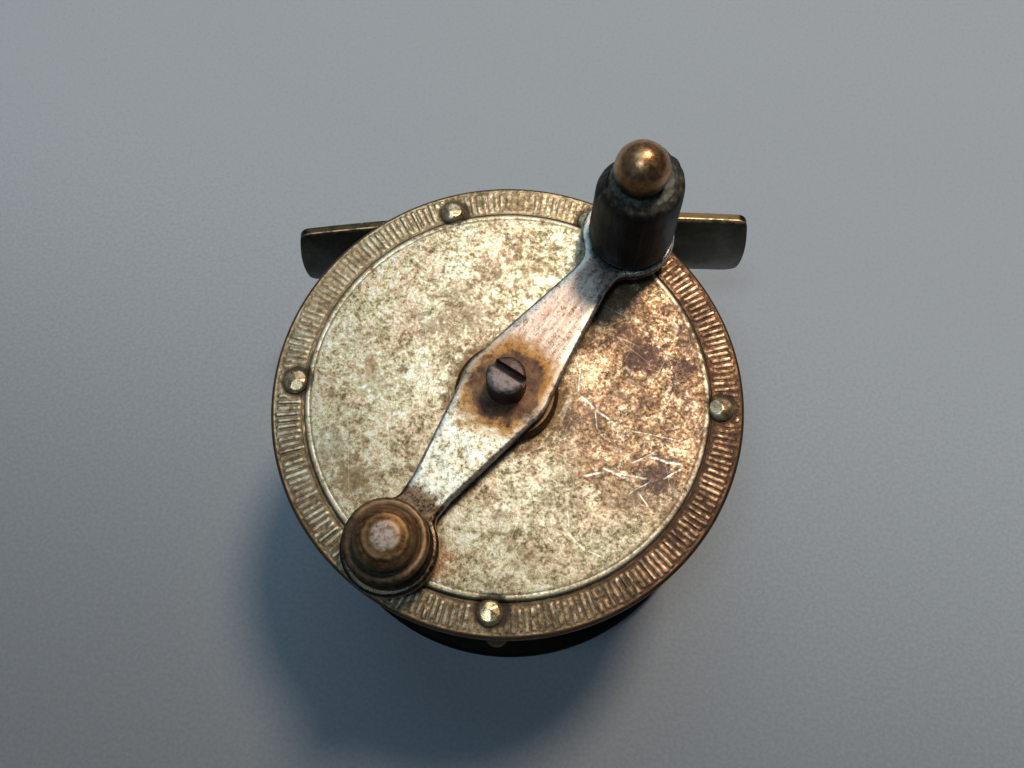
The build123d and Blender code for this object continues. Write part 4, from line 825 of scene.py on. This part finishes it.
def outline_from_cad():
    """The arm's outline, as a closed loop of points, from the CAD node's lower face."""
    me = nodes["crank_arm"].data
    z0 = min(v.co.z for v in me.vertices)
    bm = bmesh.new()
    bm.from_mesh(me)
    bmesh.ops.remove_doubles(bm, verts=bm.verts, dist=1e-6)
    low = [f for f in bm.faces if all(abs(v.co.z - z0) < 2e-6 for v in f.verts)]
    lows = set(f.index for f in low)
    bm.faces.index_update()
    lows = set(f.index for f in low)
    border = []
    for f in low:
        for e in f.edges:
            if sum(1 for g in e.link_faces if g.index in lows) == 1:
                border.append(e)
    loops, seen = [], set()
    adj = {}
    for e in border:
        a, b_ = e.verts
        adj.setdefault(a, []).append(b_)
        adj.setdefault(b_, []).append(a)
    for v0 in adj:
        if v0 in seen:
            continue
        loop, prev, cur = [v0], None, v0
        seen.add(v0)
        while True:
            nxt = [w for w in adj[cur] if w is not prev and w not in seen]
            if not nxt:
                break
            prev, cur = cur, nxt[0]
            seen.add(cur)
            loop.append(cur)
        loops.append([(v.co.x / MM, v.co.y / MM) for v in loop])
    bm.free()
    loops.sort(key=lambda l: -max(math.hypot(*p) for p in l))
    return loops[0]


def resample(loop, step):
    pts = []
    m = len(loop)
    for i in range(m):
        (x0, y0), (x1, y1) = loop[i], loop[(i + 1) % m]
        d = math.hypot(x1 - x0, y1 - y0)
        k = max(1, int(round(d / step)))
        pts += [(x0 + (x1 - x0) * j / k, y0 + (y1 - y0) * j / k) for j in range(k)]
    return pts


loop = resample(outline_from_cad(), 0.28)
area2 = sum(x0 * y1 - x1 * y0 for (x0, y0), (x1, y1) in zip(loop, loop[1:] + loop[:1]))
if area2 < 0:
    loop.reverse()
L = np.array(loop)
M = len(L)
tang = np.roll(L, -1, 0) - np.roll(L, 1, 0)
tang /= np.linalg.norm(tang, axis=1)[:, None]
inward = np.stack([-tang[:, 1], tang[:, 0]], 1)
# rings of the rounded edge, from the underside over the side to the top
edge_rings = [(0.25, 0.0), (0.08, 0.04), (0.0, 0.16), (0.0, 0.5), (0.0, 0.95), (0.05, 1.14), (0.14, 1.27), (0.27, 1.35), (0.42, 1.395)]
rings_v = []
for inset, up in edge_rings:
    wob = np.array([0.02 * fbm(x * 0.5, y * 0.5, up, 2, 17.0) for x, y in L])
    P = L + inward * (inset + np.abs(wob) * (0.4 if inset == 0 else 1.0))[:, None]
    rings_v.append([(float(x), float(y), ARM_Z + up) for x, y in P])
# inner points of the top face
square = 3.32 / 2


def seg_dist(px, py):
    d = np.hypot(L[:, 0] - px, L[:, 1] - py)
    return float(d.min())


def inside(px, py):
    x, y = L[:, 0], L[:, 1]
    x2, y2 = np.roll(x, -1), np.roll(y, -1)
    c = ((y > py) != (y2 > py)) & (px < (x2 - x) * (py - y) / (y2 - y + 1e-12) + x)
    return bool(c.sum() % 2)


inner = []
gx = np.arange(L[:, 0].min(), L[:, 0].max(), 0.8)
gy = np.arange(L[:, 1].min(), L[:, 1].max(), 0.8)
for i, x in enumerate(gx):
    for j, y in enumerate(gy):
        px, py = float(x + (0.4 if j % 2 else 0)), float(y)
        if inside(px, py) and seg_dist(px, py) > 0.85:
            inner.append((px, py))


def cap_face(border, z_of):
    """Triangulated face over a closed border with the inner points put in."""
    pts = [Vector((p[0], p[1])) for p in border] + [Vector(p) for p in inner]
    edges = [(i, (i + 1) % len(border)) for i in range(len(border))]
    out = delaunay_2d_cdt(pts, edges, [], 1, 1e-5)
    return [(p.x, p.y, z_of(p.x, p.y)) for p in out[0]], [tuple(t) for t in out[2]], out[3]


def top_z(x, y):
    e = min(1.0, seg_dist(x, y) / 2.2)
    sag = 0.03 * fbm(x * 0.16, y * 0.16, 0, 2, 12.0)
    return min(ARM_TOP, ARM_TOP - 0.005 + min(0.0, sag) * e)


tv, tf, _ = cap_face(rings_v[-1], top_z)
bv, bf, _ = cap_face(rings_v[0], lambda x, y: ARM_Z)
verts, faces, edge_attr = [], [], []
for k, ring in enumerate(rings_v):
    verts += ring
    edge_attr += [(0.0, 0.1, 0.2, 0.1, 0.3, 0.9, 1.0, 0.8, 0.35)[k]] * M
for k in range(len(rings_v) - 1):
    for i in range(M):
        j = (i + 1) % M
        faces.append((k * M + i, k * M + j, (k + 1) * M + j, (k + 1) * M + i))
o1 = len(verts)
verts += tv
edge_attr += [0.35 if i < M else 0.0 for i in range(len(tv))]
faces += [tuple(i + o1 for i in t) for t in tf]
o2 = len(verts)
verts += bv
edge_attr += [0.0] * len(bv)
faces += [tuple(i + o2 for i in reversed(t)) for t in bf]
arm = make("crank_arm_filed", verts, faces, "spool", "arm_nickel", ["crank_arm"], {"edge": edge_attr}, sharp=50)
bm = bmesh.new()
bm.from_mesh(arm.data)
bmesh.ops.remove_doubles(bm, verts=bm.verts, dist=2e-6)
bmesh.ops.recalc_face_normals(bm, faces=bm.faces)
bm.to_mesh(arm.data)
bm.free()

n = Nodes("arm_nickel")
o = n.xyz()
fine = n.noise(0.5, 5, 0.7)
mid = n.noise(2.2, 5, 0.65, 0.5)
big = n.noise(6.0, 4, 0.6)
v = n.place((0, 0, 0), (0, 0, KNOB_ANGLE), (6.0, 1.0, 1.0))
brush = n.noise(0.6, 4, 0.6, vec=v)
s_along = n.m("ADD", n.m("MULTIPLY", o[0], 1000 * math.cos(math.radians(KNOB_ANGLE))), n.m("MULTIPLY", o[1], 1000 * math.sin(math.radians(KNOB_ANGLE))))
pmix = n.m("ADD", n.m("MULTIPLY", brush, 0.45), n.m("MULTIPLY", fine, 0.55))
pink = n.ramp(pmix, [(0.38, (0.095, 0.054, 0.036)), (0.44, (0.200, 0.139, 0.110)), (0.50, (0.295, 0.232, 0.203)), (0.60, (0.390, 0.335, 0.307))])
pale = n.ramp(n.m("ADD", n.m("MULTIPLY", fine, 0.6), n.m("MULTIPLY", mid, 0.4)), [
    (0.40, (0.27, 0.18, 0.085)), (0.45, (0.50, 0.42, 0.28)), (0.52, (0.70, 0.66, 0.55)), (0.62, (0.86, 0.84, 0.76))])
col = n.mix(n.span(n.m("ADD", s_along, n.m("MULTIPLY", big, 4.0)), -2.0, 5.0), pale, pink)
# brown tarnish round the screw, dark violet close in
d0 = n.m("ADD", n.dist((0, 0)), n.m("MULTIPLY", n.m("SUBTRACT", mid, 0.5), 5.0))
tarn = n.span(d0, 5.0, 8.0, 1.0, 0.0)
col = n.mix(n.m("MULTIPLY", tarn, 0.92), col, n.ramp(fine, [(0.36, (0.11, 0.046, 0.010)), (0.62, (0.34, 0.170, 0.040))]))
col = n.mix(n.m("MULTIPLY", n.span(d0, 4.3, 5.2, 1.0, 0.0), 0.93), col, n.ramp(n.m("ADD", n.m("MULTIPLY", fine, 0.5), n.m("MULTIPLY", mid, 0.5)), [(0.40, (0.030, 0.018, 0.016)), (0.5, (0.080, 0.044, 0.032)), (0.6, (0.15, 0.090, 0.050))]))
# brown grime beside the counterweight, near-black toward the arm's end past it; beside the knob, a blue-grey painted
# shadow of the knob with a painted sky reflection
dw = n.m("ADD", n.dist((QX, QY)), n.m("MULTIPLY", n.m("SUBTRACT", mid, 0.5), 3.0))
col = n.mix(n.m("MULTIPLY", n.span(dw, 6.9, 8.6, 1.0, 0.0), 0.96), col, n.mix(n.span(s_along, -26.5, -21.5), n.ramp(fine, [(0.38, (0.012, 0.008, 0.006)), (0.62, (0.050, 0.032, 0.020))]), n.ramp(fine, [(0.38, (0.045, 0.022, 0.013)), (0.5, (0.125, 0.066, 0.035)), (0.65, (0.23, 0.145, 0.08))])))
# beside the knob the arm is painted blue-grey: painted shadow of the knob, lit by sky
knob_shadow_dist = n.m("ADD", n.dist((PX, PY)), n.m("MULTIPLY", n.m("SUBTRACT", mid, 0.5), 3.0))
col = n.mix(n.m("MULTIPLY", n.span(knob_shadow_dist, 5.2, 6.4, 1.0, 0.0), 0.75), col, (0.16, 0.21, 0.21))
# brown spots, edges rubbed bright
t_across = n.m("ADD", n.m("MULTIPLY", o[0], -1000 * math.sin(math.radians(KNOB_ANGLE))), n.m("MULTIPLY", o[1], 1000 * math.cos(math.radians(KNOB_ANGLE))))
spots = n.span(n.noise(1.6, 6, 0.72, 0.9), 0.63, 0.70)
col = n.mix(n.m("MULTIPLY", spots, 0.65), col, (0.20, 0.12, 0.055))
col = n.mix(n.m("MULTIPLY", n.m("MULTIPLY", n.attr("edge"), n.span(dw, 7.4, 9.0)), n.span(n.m("ADD", fine, n.m("MULTIPLY", mid, 0.3)), 0.50, 0.72, 0.25, 0.95)), col, (0.93, 0.87, 0.76))
zz = n.m("MULTIPLY", o[2], 1000.0)
col = n.mix(n.m("MULTIPLY", n.span(zz, ARM_Z + 0.9, ARM_Z + 1.15, 1.0, 0.0), 0.8), col, n.ramp(mid, [(0.4, (0.10, 0.062, 0.032)), (0.65, (0.34, 0.25, 0.15))]))
rough = n.m("ADD", n.span(fine, 0.35, 0.65, 0.24, 0.40), n.m("MULTIPLY", tarn, 0.15))
nr = n.bump(n.m("ADD", n.m("MULTIPLY", brush, 0.5), n.m("SUBTRACT", n.noise(0.3, 4, 0.7), spots)), 0.28, 0.09)
nr = n.bump(big, 0.12, 0.6, nr)
ARM = n.done(col, rough, n.m("SUBTRACT", 0.93, n.m("MULTIPLY", spots, 0.4)), nr)
paint(arm, ARM)

# ------------------------------------------------------------------ the rest: CAD solids with their finishes
n = Nodes("tail_nickel")
fine = n.noise(0.95, 8, 0.74)
fineb = n.noise(0.5, 7, 0.74, 0.2)
mid = n.noise(4.6, 7, 0.66, 0.3)
wide = n.noise(15.0, 5, 0.6)
_, rad = n.polar()
mix_ = n.m("ADD", n.m("ADD", n.m("MULTIPLY", fine, 0.30), n.m("MULTIPLY", mid, 0.34)), n.m("ADD", n.m("MULTIPLY", fineb, 0.24), n.m("MULTIPLY", n.noise(0.3, 5, 0.7), 0.12)))
dull = n.ramp(mix_, [(0.400, (0.085, 0.055, 0.028)), (0.440, (0.165, 0.118, 0.062)), (0.475, (0.26, 0.205, 0.120)),
                     (0.515, (0.36, 0.315, 0.215)), (0.56, (0.46, 0.43, 0.33)), (0.61, (0.60, 0.58, 0.48))])
brown = n.ramp(mix_, [(0.41, (0.060, 0.034, 0.018)), (0.48, (0.135, 0.085, 0.045)), (0.54, (0.23, 0.155, 0.088)), (0.61, (0.38, 0.29, 0.18))])
col = n.mix(n.span(n.m("ADD", wide, n.m("MULTIPLY", n.m("SUBTRACT", mid, 0.5), 0.5)), 0.44, 0.58, 0.15, 0.95), dull, brown)
col = n.mix(n.m("MULTIPLY", n.span(n.noise(1.5, 7, 0.72), 0.62, 0.68), 0.6), col, (0.075, 0.046, 0.024))
# the outer zone is painted dark: painted shade under the head plate
col = n.mix(n.m("MULTIPLY", n.span(rad, 26.3, 28.4), 0.94), col, n.ramp(mid, [(0.4, (0.026, 0.017, 0.010)), (0.62, (0.095, 0.064, 0.036))]))
# outward of 27 mm and above the lowest millimetre the plate is painted near-black: painted shade under the head plate
tail_rim_painted_shade = n.m("MULTIPLY", n.span(rad, 24.5, 27.0), n.span(n.m("MULTIPLY", n.xyz()[2], 1000.0), 0.3, 1.1))
col = n.mix(n.m("MULTIPLY", tail_rim_painted_shade, 0.97), col, (0.011, 0.009, 0.007))
nr = n.bump(n.m("ADD", n.m("MULTIPLY", n.noise(0.35, 4, 0.7), 0.6), n.m("MULTIPLY", mix_, 0.8)), 0.30, 0.10)
nr = n.bump(n.noise(7.0, 3, 0.5), 0.10, 0.5, nr)
TAILN = n.done(col, n.m("ADD", n.span(fine, 0.35, 0.65, 0.34, 0.50), n.m("MULTIPLY", tail_rim_painted_shade, 0.3)), 0.88, nr)

BOSS = finish_simple("boss_bronze", (0.055, 0.030, 0.014), (0.15, 0.085, 0.040), (0.28, 0.175, 0.09), 1.6)
RIVET = finish_simple("rivet_bronze", (0.24, 0.145, 0.070), (0.52, 0.38, 0.22), (0.88, 0.76, 0.55), 1.2, rough=(0.22, 0.36), dirt=0.66, bump=0.12)
PILLAR = finish_simple("pillar_brass", (0.10, 0.065, 0.032), (0.24, 0.165, 0.085), (0.38, 0.28, 0.16), 2.0)
SPOOL = finish_simple("spool_brass", (0.15, 0.10, 0.05), (0.32, 0.23, 0.12), (0.46, 0.36, 0.21), 3.0)
INNER = finish_simple("oiled_steel", (0.14, 0.13, 0.12), (0.30, 0.29, 0.27), (0.46, 0.45, 0.43), 1.5, rough=(0.25, 0.42))
SPRING = finish_simple("blued_spring", (0.05, 0.055, 0.08), (0.12, 0.13, 0.17), (0.24, 0.25, 0.29), 1.5, rough=(0.22, 0.38))

n = Nodes("foot_patina")
o = n.xyz()
fine = n.noise(0.8, 5, 0.7)
big = n.noise(6.0, 5, 0.6, 0.5)
col = n.ramp(n.m("ADD", n.m("MULTIPLY", big, 0.55), n.m("MULTIPLY", fine, 0.45)), [
    (0.36, (0.022, 0.020, 0.014)), (0.5, (0.060, 0.056, 0.041)), (0.66, (0.14, 0.125, 0.093))])
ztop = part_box("reel_foot")[1].z / MM
topedge = n.span(n.m("ADD", n.m("MULTIPLY", o[2], 1000.0), n.m("MULTIPLY", fine, 0.5)), ztop - 0.75, ztop - 0.1)
col = n.mix(n.m("MULTIPLY", topedge, 0.8), col, n.ramp(fine, [(0.40, (0.020, 0.013, 0.007)), (0.60, (0.075, 0.048, 0.022))]))
sk = math.radians(5.6)
fo, fn_, br = (0.1858, 28.7453), (-math.sin(sk), math.cos(sk)), 33.6 ** 2 / 2.6
out = n.m("ADD", n.m("MULTIPLY", o[0], 1000 * fn_[0]), n.m("MULTIPLY", o[1], 1000 * fn_[1]))
alongf = n.m("ADD", n.m("MULTIPLY", o[0], 1000 * fn_[1]), n.m("MULTIPLY", o[1], -1000 * fn_[0]))
shift = fo[0] * fn_[1] - fo[1] * fn_[0]
alongf = n.m("SUBTRACT", alongf, shift)
lift = n.m("SUBTRACT", n.m("MULTIPLY", n.m("MULTIPLY", n.m("SUBTRACT", n.m("MULTIPLY", o[2], 1000.0), 19.5), n.m("SUBTRACT", n.m("MULTIPLY", o[2], 1000.0), 19.5)), 0.016),
           n.m("MULTIPLY", n.m("MULTIPLY", alongf, alongf), 1 / (2 * br)))
depth = n.m("SUBTRACT", n.m("SUBTRACT", out, fo[0] * fn_[0] + fo[1] * fn_[1]), lift)
edgeline = n.m("MULTIPLY", n.m("MULTIPLY", n.span(depth, 0.10, 0.22, 1.0, 0.0), topedge), n.span(n.noise(1.6, 5, 0.7, 0.3), 0.44, 0.54, 0.25, 1.0))
col = n.mix(edgeline, col, (0.62, 0.46, 0.25))
sp = n.span(n.noise(1.8, 6, 0.7, 0.7), 0.62, 0.70)
col = n.mix(n.m("MULTIPLY", sp, 0.6), col, (0.17, 0.165, 0.125))
FOOT = n.done(col, n.span(fine, 0.35, 0.65, 0.32, 0.5), 0.85, n.bump(n.m("ADD", n.noise(0.4, 4, 0.7), n.m("MULTIPLY", sp, 0.5)), 0.3, 0.12))

finishes = {
    "tail_plate": TAILN, "click_button": TAILN, "tail_bearing": BOSS, "thrust_washer": BOSS, "head_bearing": BOSS,
    "knob_washer": BOSS, "tail_rivets": RIVET, "spring_post": RIVET, "plain_pillars": PILLAR,
    "foot_pillar_right": PILLAR, "foot_pillar_left": PILLAR, "reel_foot": FOOT, "foot_screws": RUST,
    "spool_arbor": SPOOL, "head_flange": SPOOL, "tail_flange": SPOOL, "spindle": INNER, "click_ratchet": INNER,
    "click_pawl": INNER, "click_spring": SPRING,
    # these are stood for by finer meshes, and keep a finish of the same kind
    "head_plate": WORN, "crank_arm": ARM, "crank_screw": RUST, "knob_pin": RUBBED, "handle_knob": HORN,
    "counterweight": BROWN, "head_rivets": RIVET,
}
for name, material in finishes.items():
    paint(nodes[name], material)
paint(rivets, RIVET)

# ------------------------------------------------------------------ floor, light, camera
bpy.ops.mesh.primitive_plane_add(size=3.0, location=(0, 0, 0))
floor = bpy.context.object
floor.name = "floor"
n = Nodes("floor_pale")
o = n.xyz()
# the floor is painted darker toward the near left: painted shade
floor_painted_shade = n.span(n.m("SUBTRACT", n.m("MULTIPLY", o[0], -250.0), n.m("MULTIPLY", o[1], 1000.0)), -50.0, 80.0, 1.0, 0.45)
floor_shade_and_weave = n.m("MULTIPLY", floor_painted_shade, n.span(n.noise(0.6, 3, 0.6), 0.3, 0.7, 0.93, 1.07))
n.done(n.mix(floor_shade_and_weave, (0.0, 0.0, 0.0), (0.41, 0.455, 0.52)), 0.9, 0.0, n.bump(n.noise(0.7, 3, 0.6), 0.25, 0.2))
paint(floor, n.mat)


def area(name, az, el, dist, size, power, color, aim=(0, 0, 0.02)):
    light = bpy.data.lights.new(name, "AREA")
    light.shape = "DISK"
    light.size = size
    light.energy = power
    light.color = color
    ob = bpy.data.objects.new(name, light)
    bpy.context.scene.collection.objects.link(ob)
    a, e = math.radians(az), math.radians(el)
    pos = Vector(aim) + Vector((math.cos(e) * math.cos(a), math.cos(e) * math.sin(a), math.sin(e))) * dist
    ob.location = pos
    ob.rotation_euler = (Vector(aim) - pos).to_track_quat("-Z", "Y").to_euler()
    return ob


area("key", 62, 61, 0.9, 0.20, 4.6, (1.0, 0.805, 0.59))
area("fill_sky", 215, 55, 1.0, 1.0, 0.36, (0.34, 0.70, 1.0))
area("top_soft", 216, 76, 0.9, 0.20, 1.0, (0.74, 0.90, 1.0))
area("back_sky", 98, 60, 1.1, 0.8, 2.4, (0.58, 0.84, 1.0))

world = bpy.data.worlds.new("studio")
bpy.context.scene.world = world
world.use_nodes = True
world.node_tree.nodes["Background"].inputs[0].default_value = (0.42, 0.66, 0.95, 1)
world.node_tree.nodes["Background"].inputs[1].default_value = 0.06

cam = bpy.data.cameras.new("camera")
cam.lens = 33.75
cam.sensor_width = 36.0
cam.clip_start = 0.005
camera = bpy.data.objects.new("camera", cam)
bpy.context.scene.collection.objects.link(camera)
R = [[0.99730725, 0.07252946, -0.01084982], [0.06503202, -0.94302654, -0.32630014], [-0.03389804, 0.32471591, -0.94520395]]
camera.matrix_world = Matrix((
    (R[0][0], -R[1][0], -R[2][0], 4.674 * MM),
    (R[0][1], -R[1][1], -R[2][1], -38.089 * MM),
    (R[0][2], -R[1][2], -R[2][2], (H + 115.512) * MM),
    (0, 0, 0, 1)))
bpy.context.scene.camera = camera
bpy.context.scene.view_settings.view_transform = "Standard"
